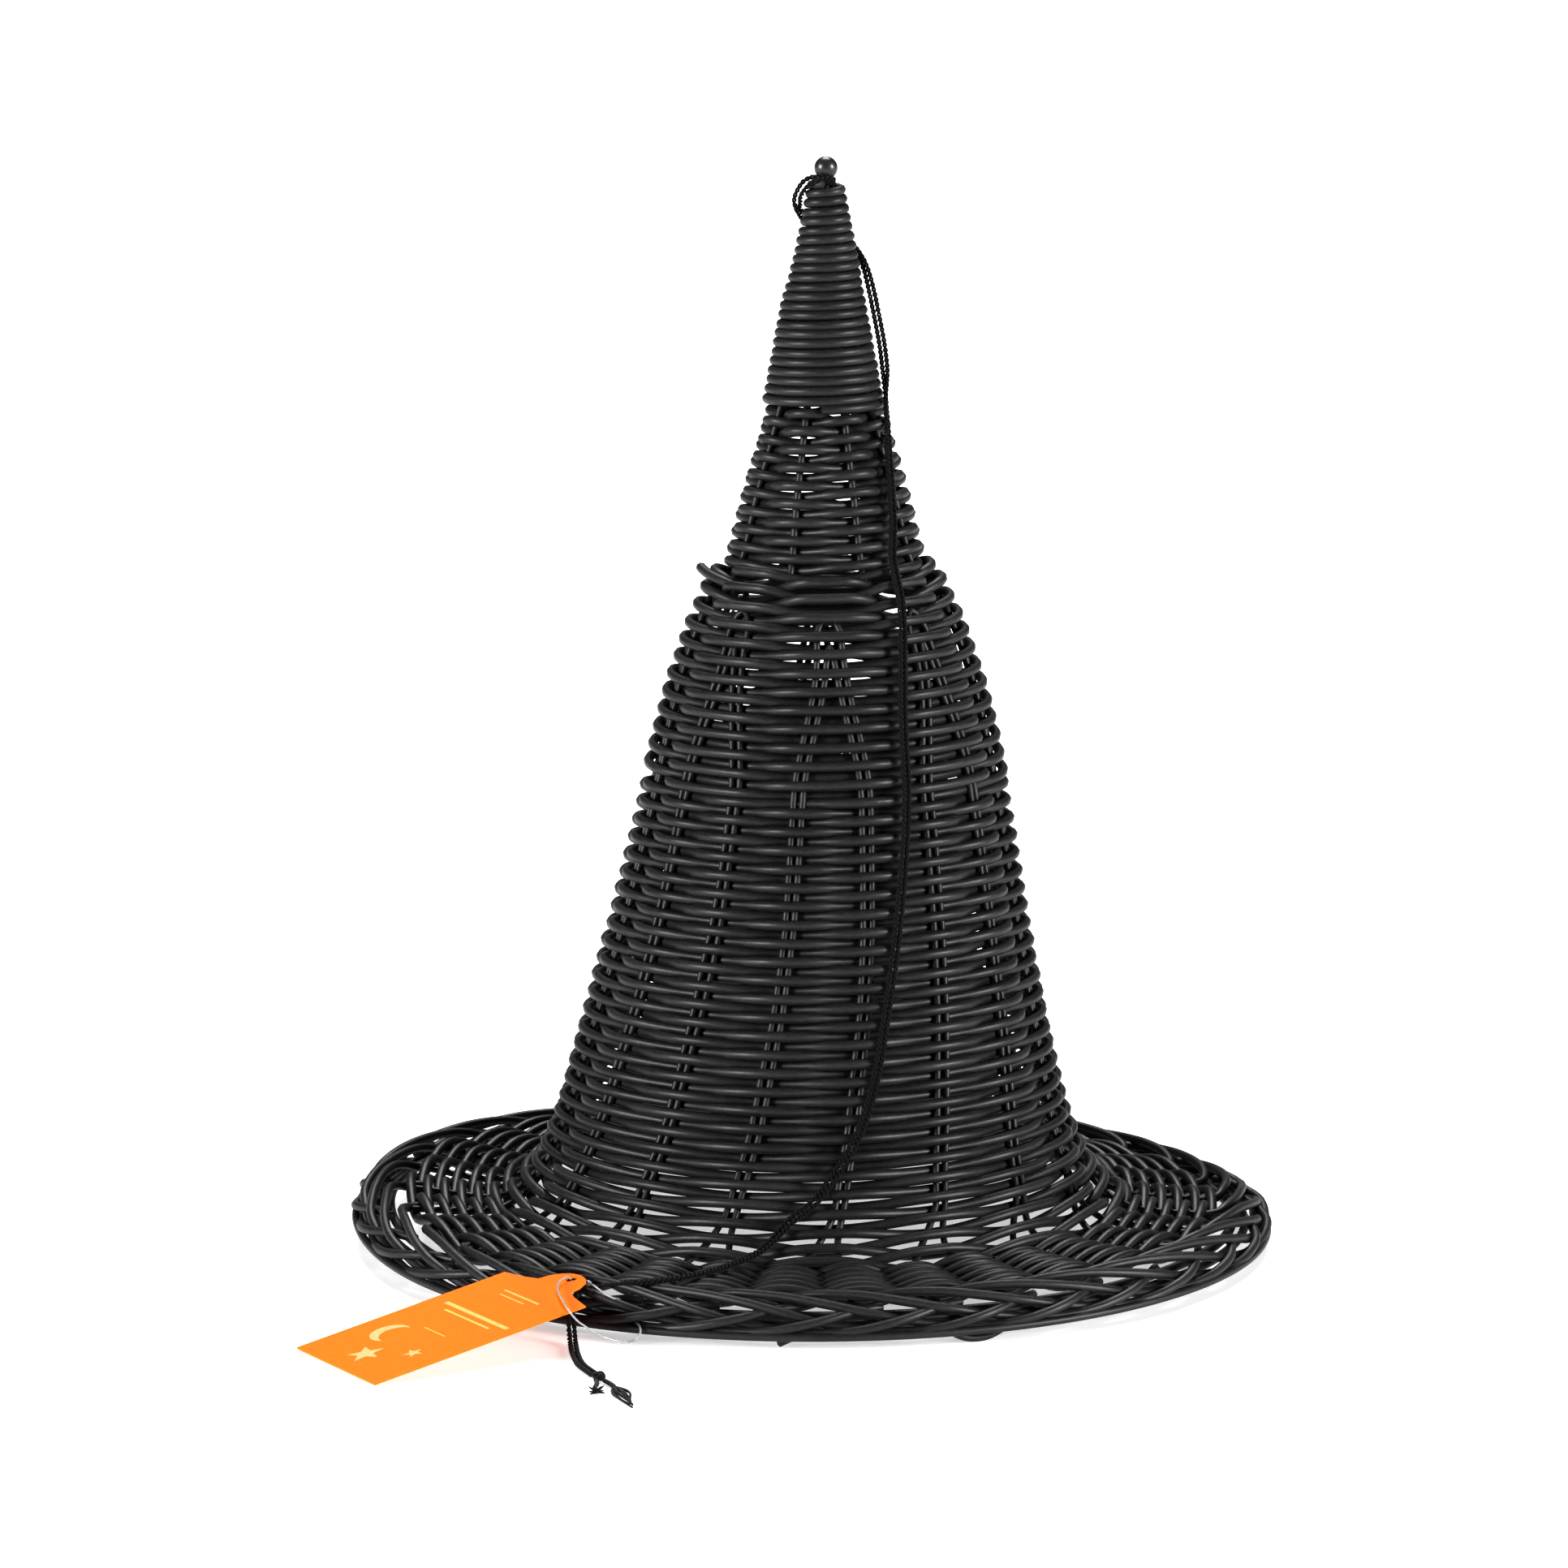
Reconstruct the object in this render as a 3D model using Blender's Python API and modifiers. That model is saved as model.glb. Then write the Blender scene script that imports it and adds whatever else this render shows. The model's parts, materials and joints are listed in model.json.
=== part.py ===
"""Woven witch hat: a cane cone on a round brim, with a hanging cord and a swing tag.

The hat stands on its brim. The origin is the brim's centre on the table, +Z is up, and -Y is the front.
An azimuth is an angle round +Z, 0 at the front and positive towards +X. Lengths are in metres.

The woven cane is a double wall in this model: weavers pass outside and inside the stakes in turn, so each
woven band is an outer and an inner shell with the stakes standing between them.
"""

import math

import bmesh
import bpy
from mathutils import Matrix, Vector

MM = 0.001
GAP = 0.3 * MM  # kept between touching pieces

# ---- driving dimensions ----
HOOP_BASE = 3.4 * MM  # the brim stands this high on its trimmed ends
STAKE_RADIUS = 1.3 * MM
SHELL_NEAR = 1.9 * MM  # a shell's side next to the stakes, from the middle of the wall
SHELL_FAR = 4.4 * MM  # its other side
BAND_SIDES = 36

# The middle of the woven wall, from the tip down and out to the brim: radius and height in mm.
OUTLINE_MM = (
    (1.8, 378), (11.6, 328), (17.2, 299), (26.2, 268), (32.5, 245), (43.5, 226), (56, 188), (69.5, 124),
    (80, 79), (87.5, 49), (94.5, 31), (102, 20.5), (114, 14.6), (128, 13.4), (146, 13.4),
)

# Bands of weaving, by the height or radius at which one ends and the next begins.
WRAP_TOP, WRAP_BASE = 377.2 * MM, 300.8 * MM
WRAP_TURNS = 23
SHOULDER_TOP, SHOULDER_BASE = 244 * MM, 230 * MM
CROWN_TOP, CROWN_BASE = 168 * MM, 36 * MM
BRIM_START, BRIM_END = 113 * MM, 144.5 * MM

# Stakes: 8 at the tip, then 8 bundles of 4 that open into 16 pairs.
BUNDLES = 8
BUNDLE_STEP = 360 / BUNDLES
MAIN_STAKE_TOP = 358 * MM
OUTER_BEND, INNER_BEND = 231 * MM, 221 * MM  # where each hairpin stake turns over

# The hand-made lean of the cone, and how far one side of the brim curls up.
LEAN = 5 * MM
LEAN_FROM, LEAN_TO = 33 * MM, 193 * MM
CURL, CURL_AZIMUTH, CURL_HALF_WIDTH = 5.5 * MM, math.radians(-100), math.radians(65)
CURL_FROM, CURL_TO = 105 * MM, 150 * MM

# Border of the brim
PLAIT_RADIUS, PLAIT_HEIGHT, PLAIT_THICKNESS = 161.9 * MM, 10.5 * MM, 3.1 * MM
FANS_SECTION_MM = ((145.3, 15.4), (148.5, 17.2), (152, 16.6), (154.6, 14.6), (156.2, 11.6), (155.6, 7),
                   (147, 7.8))
HOOP_SECTION_MM = ((156.5, 5.9), (163.4, 5.9), (164.9, 4.7), (164, 3.4), (157, 3.4))

# Finial and hanging cord
BEAD_HEIGHT, BEAD_RADIUS, BORE_RADIUS = 382.8 * MM, 4.1 * MM, 1.45 * MM
PEG_RADIUS, PEG_BASE, PEG_TOP = 1.1 * MM, 350 * MM, 385.5 * MM
CORD_RADIUS = 0.75 * MM
CORD_APART = 1.8 * MM
HITCH_RADIUS, HITCH_HEIGHT, HITCH_THICKNESS = 2.75 * MM, 377.9 * MM, 0.7 * MM
KNOT_HALVES = (2.2 * MM, 2.6 * MM, 1.5 * MM)

# Swing tag: a card whose far edge lies on the table, on a plastic loop round the border's plait
TAG_WIDTH, TAG_LENGTH, TAG_THICKNESS = 55 * MM, 81.5 * MM, 0.5 * MM
TAG_EDGE = Vector((-90, -142, 16)) * MM  # middle of the edge nearest the hat
TAG_ACROSS, TAG_ALONG = Vector((0.532, -0.8467, 0)), Vector((0.8318, 0.5226, 0.1869))
TAG_HOLE_AT, TAG_HOLE_RADIUS = 10.5 * MM, 2 * MM
LOOP_RADIUS = 0.4 * MM

# The cord's two strands leave the hitch apart: x, y and z in mm, the looser one first.
CORD_STARTS_MM = (
    ((1, -0.5, 379.8), (-1, -0.7, 379.3), (-3.3, -0.8, 377.7), (-5.4, -0.7, 374.2), (-6.1, -0.3, 371.2),
     (-5.3, 0.7, 368.2)),
    ((6.5, -3.9, 379.4), (1.9, -5.9, 379), (-0.8, -5, 377.3), (-2.7, -3.2, 375), (-3.9, -1.2, 372.6),
     (-3.9, 1, 370.3)),
)
# Their way on together, down the outside of the hat: azimuth in degrees, height and stand-off in mm, and how far the
# pair is turned round itself in degrees, from flat on the hat to one strand outside the other.
CORD_ON_CONE = (
    (-106, 366.8, 1.6, 0), (-130, 364, 1.15, 0), (-158, 361.5, 1.15, 0), (174, 359, 1.15, 0), (148, 356, 1.15, 0),
    (122, 352.5, 1.25, 0), (101, 347, 1.7, 40), (91, 339, 2.15, 80), (87.5, 330, 2.3, 90), (84, 320, 2.4, 90),
    (80, 310.5, 2, 75), (70, 301, 1.4, 20), (55, 284, 1.15, 0), (44.7, 262, 1.15, 0), (39, 249, 1.6, 0),
    (37, 242, 2.2, 0), (34.6, 233, 2.2, 0), (32.8, 226, 1.5, 0), (31.2, 219, 1.15, 0), (26.5, 193, 1.15, 0),
    (25.4, 169, 1.15, 0), (22.9, 142, 1.15, 0), (19.9, 116, 1.15, 0), (17.2, 96, 1.15, 0), (15.5, 83, 1.2, 0),
    (13.4, 70, 1.3, 0), (11, 59.5, 1.6, 0), (7.8, 49.5, 1.6, 0), (4.4, 41.5, 1.3, 0), (0.4, 33, 1.3, 0),
    (-4.2, 26.5, 1.5, 0),
)
# The rest of it, over the brim, under the tag and out on the table: x, y and z in mm.
CORD_ON_BRIM_MM = (
    (-16.9, -110, 21.8), (-27.8, -121.5, 19.3), (-38.2, -132.4, 19), (-48.6, -139.4, 18.9), (-59.2, -141.6, 18.4),
    (-69, -139.6, 17.2), (-75.2, -139.3, 15), (-79.2, -142.4, 14.3), (-80.8, -147.4, 12.2), (-80.8, -150.8, 7.2),
    (-80.4, -154.4, 2.9), (-79.8, -160, 1.15), (-78.6, -172, 1.1), (-76.4, -184, 1.1), (-73, -193, 1.1),
    (-71.4, -197.2, 1.1),
)
CORD_KNOT_MM = (-70.1, -200.6, 1.6)
FRAYED_ENDS_MM = (
    ((-70.6, -203.4, 1), (-70.4, -208, 1), (-70.9, -213, 1), (-69.8, -219.5, 1)),
    ((-68.2, -203.2, 1), (-65.4, -209, 1), (-62.8, -218, 1), (-60.6, -226, 1), (-57.6, -236, 1)),
)
# The tag's plastic loop, which bends easily: up through the hole, over the card and its edge, down outside the rim,
# under the border's plait, up inside it, and back over it and round the tab's end to the hole.
LOOP_ROUTE_MM = (
    (-81.35, -136.6, 18.2), (-83, -138.4, 19.3), (-85.4, -143.6, 18.6), (-85, -152.3, 17.7), (-82.8, -162.6, 16.8),
    (-80.8, -170, 15.8), (-78.2, -172.6, 13.4), (-76.2, -168.5, 10.6), (-71.1, -162, 5.4), (-65.4, -158.8, 2.6),
    (-61.7, -156.4, 1.5), (-58.6, -157, 2.8), (-57.4, -156.6, 5.4), (-58.2, -152.8, 6.66), (-59.6, -149.2, 6.68),
    (-60.8, -146, 7.8), (-62.6, -144.4, 10.5), (-64.8, -144.6, 13.2), (-66.9, -147.7, 14.5), (-70.4, -145.6, 16),
    (-73.6, -141.4, 17.3), (-76.2, -137.8, 17.3), (-79.4, -136.7, 16.9), (-80.8, -136.5, 17.3),
)

# Trimmed ends and short loops under the rim, on which the hat stands: azimuth in degrees, radius in mm, kind
LOOP_HALF, END_HALF = 9 * MM, 3.2 * MM
REST_ENDS = ((20.5, 160, "loop"), (-3, 159, "end"), (92, 160, "loop"), (152, 159, "end"), (-166, 160, "loop"),
             (-64, 159, "end"))

WICKER, BEAD_COLOUR, CORD_COLOUR = (0.03, 0.03, 0.032, 1), (0.015, 0.015, 0.016, 1), (0.01, 0.01, 0.011, 1)
CARD_COLOUR, CLEAR_COLOUR = (1, 0.33, 0.01, 1), (0.8, 0.82, 0.85, 1)


# ---- scene and materials ----
def clear_scene():
    for obj in list(bpy.data.objects):
        bpy.data.objects.remove(obj, do_unlink=True)


def make_material(name, colour, roughness):
    material = bpy.data.materials.new(name)
    material.use_nodes = True
    shader = material.node_tree.nodes["Principled BSDF"]
    shader.inputs["Base Color"].default_value = colour
    shader.inputs["Roughness"].default_value = roughness
    return material


def add_object(name, data, material):
    obj = bpy.data.objects.new(name, data)
    obj.data.materials.append(material)
    hat.objects.link(obj)
    return obj


# ---- the hand-made shape ----
def smooth_step(value, low, high):
    t = min(max((value - low) / (high - low), 0), 1)
    return t * t * (3 - 2 * t)


def curl(azimuth, radius):
    """How far the brim curls up there."""
    away = abs((azimuth - CURL_AZIMUTH + math.pi) % (2 * math.pi) - math.pi) / CURL_HALF_WIDTH
    if away >= 1:
        return 0
    return CURL * math.cos(away * math.pi / 2) ** 2 * smooth_step(radius, CURL_FROM, CURL_TO)


def seat(point):
    """A point of the true cone and flat brim, moved to where the leaning, curled hat has it."""
    azimuth, radius = math.atan2(point.x, -point.y), math.hypot(point.x, point.y)
    lean = LEAN * smooth_step(point.z, LEAN_FROM, LEAN_TO)
    return Vector((point.x + lean, point.y, point.z + curl(azimuth, radius)))


def polar(azimuth, radius, height):
    return Vector((radius * math.sin(azimuth), -radius * math.cos(azimuth), height))


def smooth_line(points, steps):
    """Points along a Catmull-Rom curve through the given ones."""
    padded = [2 * points[0] - points[1], *points, 2 * points[-1] - points[-2]]
    line = []
    for a, b, c, d in zip(padded, padded[1:], padded[2:], padded[3:]):
        for k in range(steps):
            t = k / steps
            line.append(0.5 * (2 * b + (c - a) * t + (2 * a - 5 * b + 4 * c - d) * t**2
                               + (3 * b - a - 3 * c + d) * t**3))
    return [*line, points[-1].copy()]


class Wall:
    """The middle line of the woven wall, measured along itself from the tip."""

    def __init__(self):
        self.line = smooth_line([Vector((r * MM, z * MM)) for r, z in OUTLINE_MM], 16)
        self.along = [0]
        for a, b in zip(self.line, self.line[1:]):
            self.along.append(self.along[-1] + (b - a).length)

    def at_height(self, height):
        k = next(i for i, p in enumerate(self.line) if p.y <= height)
        a, b = self.line[k - 1], self.line[k]
        return self.along[k - 1] + (self.along[k] - self.along[k - 1]) * (a.y - height) / (a.y - b.y)

    def at_radius(self, radius):
        k = next(i for i, p in enumerate(self.line) if p.x >= radius)
        a, b = self.line[k - 1], self.line[k]
        return self.along[k - 1] + (self.along[k] - self.along[k - 1]) * (radius - a.x) / (b.x - a.x)

    def point(self, s, off=0):
        """Radius and height at s, moved outwards by off."""
        k = next((i for i, at in enumerate(self.along) if at >= s), len(self.along) - 1) or 1
        a, b = self.line[k - 1], self.line[k]
        t = (s - self.along[k - 1]) / (self.along[k] - self.along[k - 1])
        way = (b - a).normalized()
        return a.lerp(b, t) + Vector((-way.y, way.x)) * off


def spaced(start, stop, count):
    return [start + (stop - start) * k / (count - 1) for k in range(count)]


def ring_places():
    """Places along the wall where the stakes and the woven bands both bend, so that they stay clear of each other."""
    shoulder, bundle, crown, flare = (wall.at_height(z) for z in (SHOULDER_TOP, SHOULDER_BASE, CROWN_TOP, CROWN_BASE))
    brim, border = wall.at_radius(BRIM_START), wall.at_radius(BRIM_END)
    wrap = wall.at_height(WRAP_BASE - 2 * MM)
    return {"upper": spaced(wrap, shoulder, 4), "shoulder": spaced(shoulder, bundle, 3),
            "bundle": spaced(bundle, crown, 4), "crown": spaced(crown, flare, 5),
            "flare": spaced(flare, brim, 4), "brim": spaced(brim, border, 4)}


# ---- shapes ----
def turned(name, section, sides, material):
    """A closed ring: its section, radius and height round its outer side first, turned by a Screw modifier."""
    mesh = bpy.data.meshes.new(name)
    edges = [(k, (k + 1) % len(section)) for k in range(len(section))]
    mesh.from_pydata([(r, 0, z) for r, z in section], edges, [])
    obj = add_object(name, mesh, material)
    screw = obj.modifiers.new("turn", "SCREW")
    screw.steps = screw.render_steps = sides
    screw.use_merge_vertices = True
    screw.merge_threshold = 0.00001
    return obj


def seated(obj):
    """The same object as a plain mesh, leaning and curled like the rest of the hat."""
    depsgraph = bpy.context.evaluated_depsgraph_get()
    mesh = bpy.data.meshes.new_from_object(obj.evaluated_get(depsgraph))
    for vertex in mesh.vertices:
        vertex.co = seat(vertex.co)
    obj.modifiers.clear()
    obj.data = mesh
    return obj


def band(name, rings, near, far, material, sides=BAND_SIDES):
    """A shell of the wall through the given places along it, from near to far off its middle line."""
    outer, inner = max(near, far), min(near, far)
    places = [*rings[:-1], rings[-1] - GAP]
    section = [wall.point(s, outer) for s in places] + [wall.point(s, inner) for s in reversed(places)]
    return seated(turned(name, section, sides, material))


def tube(name, points, radius, material, sides_step=0, cyclic=False):
    curve = bpy.data.curves.new(name, "CURVE")
    curve.dimensions = "3D"
    curve.bevel_depth = radius
    curve.bevel_resolution = sides_step
    curve.use_fill_caps = not cyclic
    spline = curve.splines.new("POLY")
    spline.points.add(len(points) - 1)
    for spot, point in zip(spline.points, points):
        spot.co = (*point, 1)
    spline.use_cyclic_u = cyclic
    return add_object(name, curve, material)


# ---- finial ----
def make_bead(material):
    """A turned bead, bored through for its peg."""
    low = math.asin(BORE_RADIUS / BEAD_RADIUS)
    section = []
    for angle in spaced(low, math.pi - low, 9):
        section.append((BEAD_RADIUS * math.sin(angle), BEAD_HEIGHT + BEAD_RADIUS * math.cos(angle)))
    return seated(turned("finial_bead", section, 16, material))


def make_peg(material):
    bm = bmesh.new()
    bmesh.ops.create_cone(bm, cap_ends=True, segments=8, radius1=PEG_RADIUS, radius2=PEG_RADIUS,
                          depth=PEG_TOP - PEG_BASE)
    mesh = bpy.data.meshes.new("finial_peg")
    bm.to_mesh(mesh)
    bm.free()
    peg = add_object("finial_peg", mesh, material)
    peg.location = (LEAN, 0, (PEG_TOP + PEG_BASE) / 2)
    return peg


# ---- tip wrapping ----
def make_tip_wrap(material):
    """One round cane in close turns, rising to the right as it is seen from outside."""
    per_turn = 12
    radius = SHELL_FAR - 3.05 * MM
    points = []
    for k in range(WRAP_TURNS * per_turn + 1):
        height = WRAP_BASE + (WRAP_TOP - WRAP_BASE) * k / (WRAP_TURNS * per_turn)
        spot = wall.point(wall.at_height(height), SHELL_FAR - radius)
        points.append(seat(polar(2 * math.pi * k / per_turn, spot.x, height)))
    return tube("tip_wrap", points, radius, material)


# ---- stakes ----
def twist(height):
    """The stakes' slow turn round the hat, as an azimuth for the middle of the front bundle."""
    turns = ((378, -1), (300, -1), (240, 0.5), (210, 2.2), (124, 2.3), (96, 1.2), (58, -1.9), (30, -5.7), (15, -9.5))
    for (z1, a1), (z2, a2) in zip(turns, turns[1:]):
        if height >= z2 * MM:
            return math.radians(a1 + (a2 - a1) * (z1 * MM - height) / ((z1 - z2) * MM))
    return math.radians(turns[-1][1])


def make_main_stake(number, material):
    """A straight stake from inside the tip's wrapping down to the shoulder, where it is tucked in and cut."""
    azimuth = math.radians(BUNDLE_STEP * (number + 0.5))
    upper = RINGS["upper"]
    places = spaced(wall.at_height(MAIN_STAKE_TOP), upper[0] - 7 * MM, 3)
    places += [*upper, RINGS["shoulder"][1]]
    points = []
    for s in places:
        tucked = -1.3 * MM if s < upper[0] else -0.4 * MM if s == upper[0] else 0
        spot = wall.point(s, tucked)
        points.append(seat(polar(azimuth + twist(spot.y), spot.x, spot.y)))
    return tube(f"main_stake_{number + 1}", points, STAKE_RADIUS, material)


def leg_azimuth(s, side, outer):
    """A hairpin leg's azimuth from its bundle's middle: bunched at the top, paired on the crown, even on the brim."""
    spot = wall.point(s)
    pair = math.radians(3.4 + 7.85 * smooth_step(-spot.y, -222 * MM, -168 * MM))
    crown_half = 1.6 * MM / spot.x
    brim_half = math.radians(5.625)
    spread = smooth_step(s, wall.at_height(32 * MM), wall.at_radius(126 * MM))
    half = crown_half + (brim_half - crown_half) * spread
    return side * (pair + (half if outer else -half))


def make_hairpin(number, outer, material):
    """A stake bent in two over the shoulder, its legs running down to the brim's border."""
    start = wall.at_height(OUTER_BEND if outer else INNER_BEND)
    places = [start + 3 * MM, start + 8 * MM]
    places += [s for s in RINGS["bundle"] + RINGS["crown"][1:] + RINGS["flare"][1:] + RINGS["brim"][1:]
               if s > places[-1] + 4 * MM]
    middle = math.radians(BUNDLE_STEP * number)

    def leg(side):
        line = []
        for s in places:
            spot = wall.point(s)
            line.append(seat(polar(middle + twist(spot.y) + leg_azimuth(s, side, outer), spot.x, spot.y)))
        return line

    top = wall.point(start)
    crest = seat(polar(middle + twist(top.y), top.x, top.y))
    points = leg(-1)[::-1] + [crest] + leg(1)
    name = "outer" if outer else "inner"
    return tube(f"{name}_hairpin_{number + 1}", points, STAKE_RADIUS, material)


# ---- woven bands ----
def make_weave(material):
    near, far = SHELL_NEAR, SHELL_FAR
    upper, shoulder, bundle, brim = RINGS["upper"], RINGS["shoulder"], RINGS["bundle"], RINGS["brim"]
    band("upper_weave_outer", upper, near, far, material, 24)
    band("upper_weave_inner", upper + shoulder[1:], -near, -far, material, 24)
    band("shoulder_weave", shoulder, near, far + 0.9 * MM, material)
    band("bundle_weave_outer", bundle, near, far, material)
    band("crown_weave_outer", RINGS["crown"], near, far, material)
    band("crown_weave_inner", bundle + RINGS["crown"][1:], -near, -far, material)
    band("flare_weave_outer", RINGS["flare"], near, far, material)
    band("flare_weave_inner", RINGS["flare"], -near, -far, material)
    band("brim_weave_top", brim, near, far - 0.6 * MM, material)
    band("brim_weave_under", brim, -near, -far, material)


# ---- border ----
def make_border(material):
    seated(turned("border_fans", [(r * MM, z * MM) for r, z in FANS_SECTION_MM], 48, material))
    plait = []
    for k in range(8):
        angle = math.pi / 2 - k * math.pi / 4
        plait.append((PLAIT_RADIUS + PLAIT_THICKNESS * math.cos(angle),
                      PLAIT_HEIGHT + PLAIT_THICKNESS * math.sin(angle)))
    seated(turned("border_plait", plait, 48, material))
    seated(turned("rim_hoop", [(r * MM, z * MM) for r, z in HOOP_SECTION_MM], 48, material))


def make_rest_end(number, azimuth, radius, kind, material):
    """A trimmed stake end or a short bent loop under the hoop, flat where it meets the table."""
    half = LOOP_HALF if kind == "loop" else END_HALF
    top, base = HOOP_BASE - GAP, 0
    bm = bmesh.new()
    bmesh.ops.create_cube(bm, size=1)
    bmesh.ops.scale(bm, vec=(2 * half, 2.8 * MM, top - base), verts=bm.verts)
    shoulder = 0.45 if kind == "loop" else 0.8
    for vertex in bm.verts:
        if vertex.co.z < 0:
            vertex.co.x *= shoulder
    mesh = bpy.data.meshes.new(f"rest_{kind}_{number}")
    bm.to_mesh(mesh)
    bm.free()
    obj = add_object(f"rest_{kind}_{number}", mesh, material)
    angle = math.radians(azimuth)
    place = polar(angle, radius * MM, (top + base) / 2)
    lift = curl(angle, radius * MM)
    obj.location = place + Vector((0, 0, lift))
    obj.rotation_euler = (0, 0, angle)
    return obj


# ---- hanging cord ----
def cord_middle():
    """The line between the cord's two strands, the way out of the hat's surface along it, and the pair's turn."""
    points, outs, rolls = [], [], []
    for azimuth, height, stand_off, roll in CORD_ON_CONE:
        s, angle = wall.at_height(height * MM), math.radians(azimuth)
        spot = wall.point(s, SHELL_FAR + stand_off * MM)
        points.append(seat(polar(angle, spot.x, spot.y)))
        way = wall.point(s, 2 * SHELL_FAR) - wall.point(s)
        outs.append(polar(angle, way.x, way.y).normalized())
        rolls.append(math.radians(roll))
    for point in CORD_ON_BRIM_MM:
        points.append(Vector(point) * MM)
        outs.append(Vector((0, 0, 1)))
        rolls.append(0)
    return points, outs, rolls


def cord_strand(number):
    """One strand's points: from the hitch on its own, then beside the other, on one side of the middle line."""
    points, outs, rolls = cord_middle()
    side = (-1, 1)[number] * CORD_APART / 2
    strand = [Vector(point) * MM for point in CORD_STARTS_MM[number]]
    for k, (point, out, roll) in enumerate(zip(points, outs, rolls)):
        way = points[min(k + 1, len(points) - 1)] - points[max(k - 1, 0)]
        across = way.cross(out).normalized()
        strand.append(point + (across * math.cos(roll) + out * math.sin(roll)) * side)
    return strand


def make_cord(material):
    tube("cord_strand_1", cord_strand(0), CORD_RADIUS, material, 2)
    tube("cord_strand_2", cord_strand(1), CORD_RADIUS, material, 2)
    bpy.ops.mesh.primitive_torus_add(major_segments=20, minor_segments=6, major_radius=HITCH_RADIUS,
                                     minor_radius=HITCH_THICKNESS, location=(LEAN, 0, HITCH_HEIGHT))
    take("cord_hitch", material)
    bpy.ops.mesh.primitive_ico_sphere_add(subdivisions=2, radius=1, location=Vector(CORD_KNOT_MM) * MM)
    knot = take("cord_knot", material)
    for vertex in knot.data.vertices:
        vertex.co = [place * half for place, half in zip(vertex.co, KNOT_HALVES)]
    for number, points in enumerate(FRAYED_ENDS_MM):
        line = smooth_line([Vector(p) * MM for p in points], 2)
        tube(f"frayed_end_{number + 1}", line, CORD_RADIUS, material, 1)


def take(name, material):
    """Names the primitive just added and moves it to the hat's collection."""
    obj = bpy.context.object
    obj.name = obj.data.name = name
    for collection in obj.users_collection:
        collection.objects.unlink(obj)
    hat.objects.link(obj)
    obj.data.materials.append(material)
    return obj


# ---- swing tag ----
def tag_outline():
    """The card seen flat, its near edge on y = 0: notched shoulders and a round-ended tab."""
    half, notch, tab = TAG_WIDTH / 2, 16.5 * MM, 11 * MM
    points = [(-half, -TAG_LENGTH), (half, -TAG_LENGTH), (half, 0), (notch, 2 * MM)]
    centre = 3.9 * MM
    for k in range(9):
        angle = math.pi * k / 8
        points.append((tab * math.cos(angle), centre + (14.6 * MM - centre) * math.sin(angle)))
    return points + [(-notch, 2 * MM), (-half, 0)]


def make_tag(card, clear):
    curve = bpy.data.curves.new("tag_card", "CURVE")
    curve.dimensions = "2D"
    curve.fill_mode = "BOTH"
    curve.extrude = TAG_THICKNESS / 2
    hole = []
    for k in range(10):
        angle = 2 * math.pi * k / 10
        hole.append((TAG_HOLE_RADIUS * math.cos(angle), TAG_HOLE_RADIUS * math.sin(angle)))
    body = [(x, y - TAG_HOLE_AT) for x, y in tag_outline()]
    for outline in (body, hole):
        spline = curve.splines.new("POLY")
        spline.points.add(len(outline) - 1)
        for spot, (x, y) in zip(spline.points, outline):
            spot.co = (x, y, 0, 1)
        spline.use_cyclic_u = True
    tag = add_object("tag_card", curve, card)
    across = TAG_ACROSS.normalized()
    up = across.cross(TAG_ALONG).normalized()
    along = up.cross(across)
    pivot = bpy.data.objects.new("tag_pivot", None)
    hat.objects.link(pivot)
    turn = Matrix((across, along, up)).transposed().to_4x4()
    pivot.matrix_world = Matrix.Translation(TAG_EDGE + along * TAG_HOLE_AT) @ turn
    tag.parent = pivot
    points = smooth_loop([Vector(p) * MM for p in LOOP_ROUTE_MM], 2)
    tube("tag_loop", points, LOOP_RADIUS, clear, 0, cyclic=True)


def smooth_loop(points, steps):
    """Points round a closed Catmull-Rom curve."""
    count = len(points)
    line = []
    for i in range(count):
        a, b, c, d = (points[(i + j) % count] for j in (-1, 0, 1, 2))
        for k in range(steps):
            t = k / steps
            line.append(0.5 * (2 * b + (c - a) * t + (2 * a - 5 * b + 4 * c - d) * t**2
                               + (3 * b - a - 3 * c + d) * t**3))
    return line


def build_hat():
    cane = make_material("black_cane", WICKER, 0.5)
    bead = make_material("bead", BEAD_COLOUR, 0.3)
    string = make_material("cord", CORD_COLOUR, 0.9)
    card = make_material("tag_card", CARD_COLOUR, 0.5)
    clear = make_material("clear_plastic", CLEAR_COLOUR, 0.15)
    make_bead(bead)
    make_peg(cane)
    make_tip_wrap(cane)
    for number in range(BUNDLES):
        make_main_stake(number, cane)
        make_hairpin(number, True, cane)
        make_hairpin(number, False, cane)
    make_weave(cane)
    make_border(cane)
    for number, (azimuth, radius, kind) in enumerate(REST_ENDS):
        make_rest_end(number + 1, azimuth, radius, kind, cane)
    make_cord(string)
    make_tag(card, clear)


clear_scene()
hat = bpy.data.collections.new("witch_hat")
bpy.context.scene.collection.children.link(hat)
wall = Wall()
RINGS = ring_places()
build_hat()
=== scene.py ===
"""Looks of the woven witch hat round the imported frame: canes over and under each other, cord and tag."""
import json
import math

import bpy
import numpy as np
from mathutils import Matrix, Vector


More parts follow.
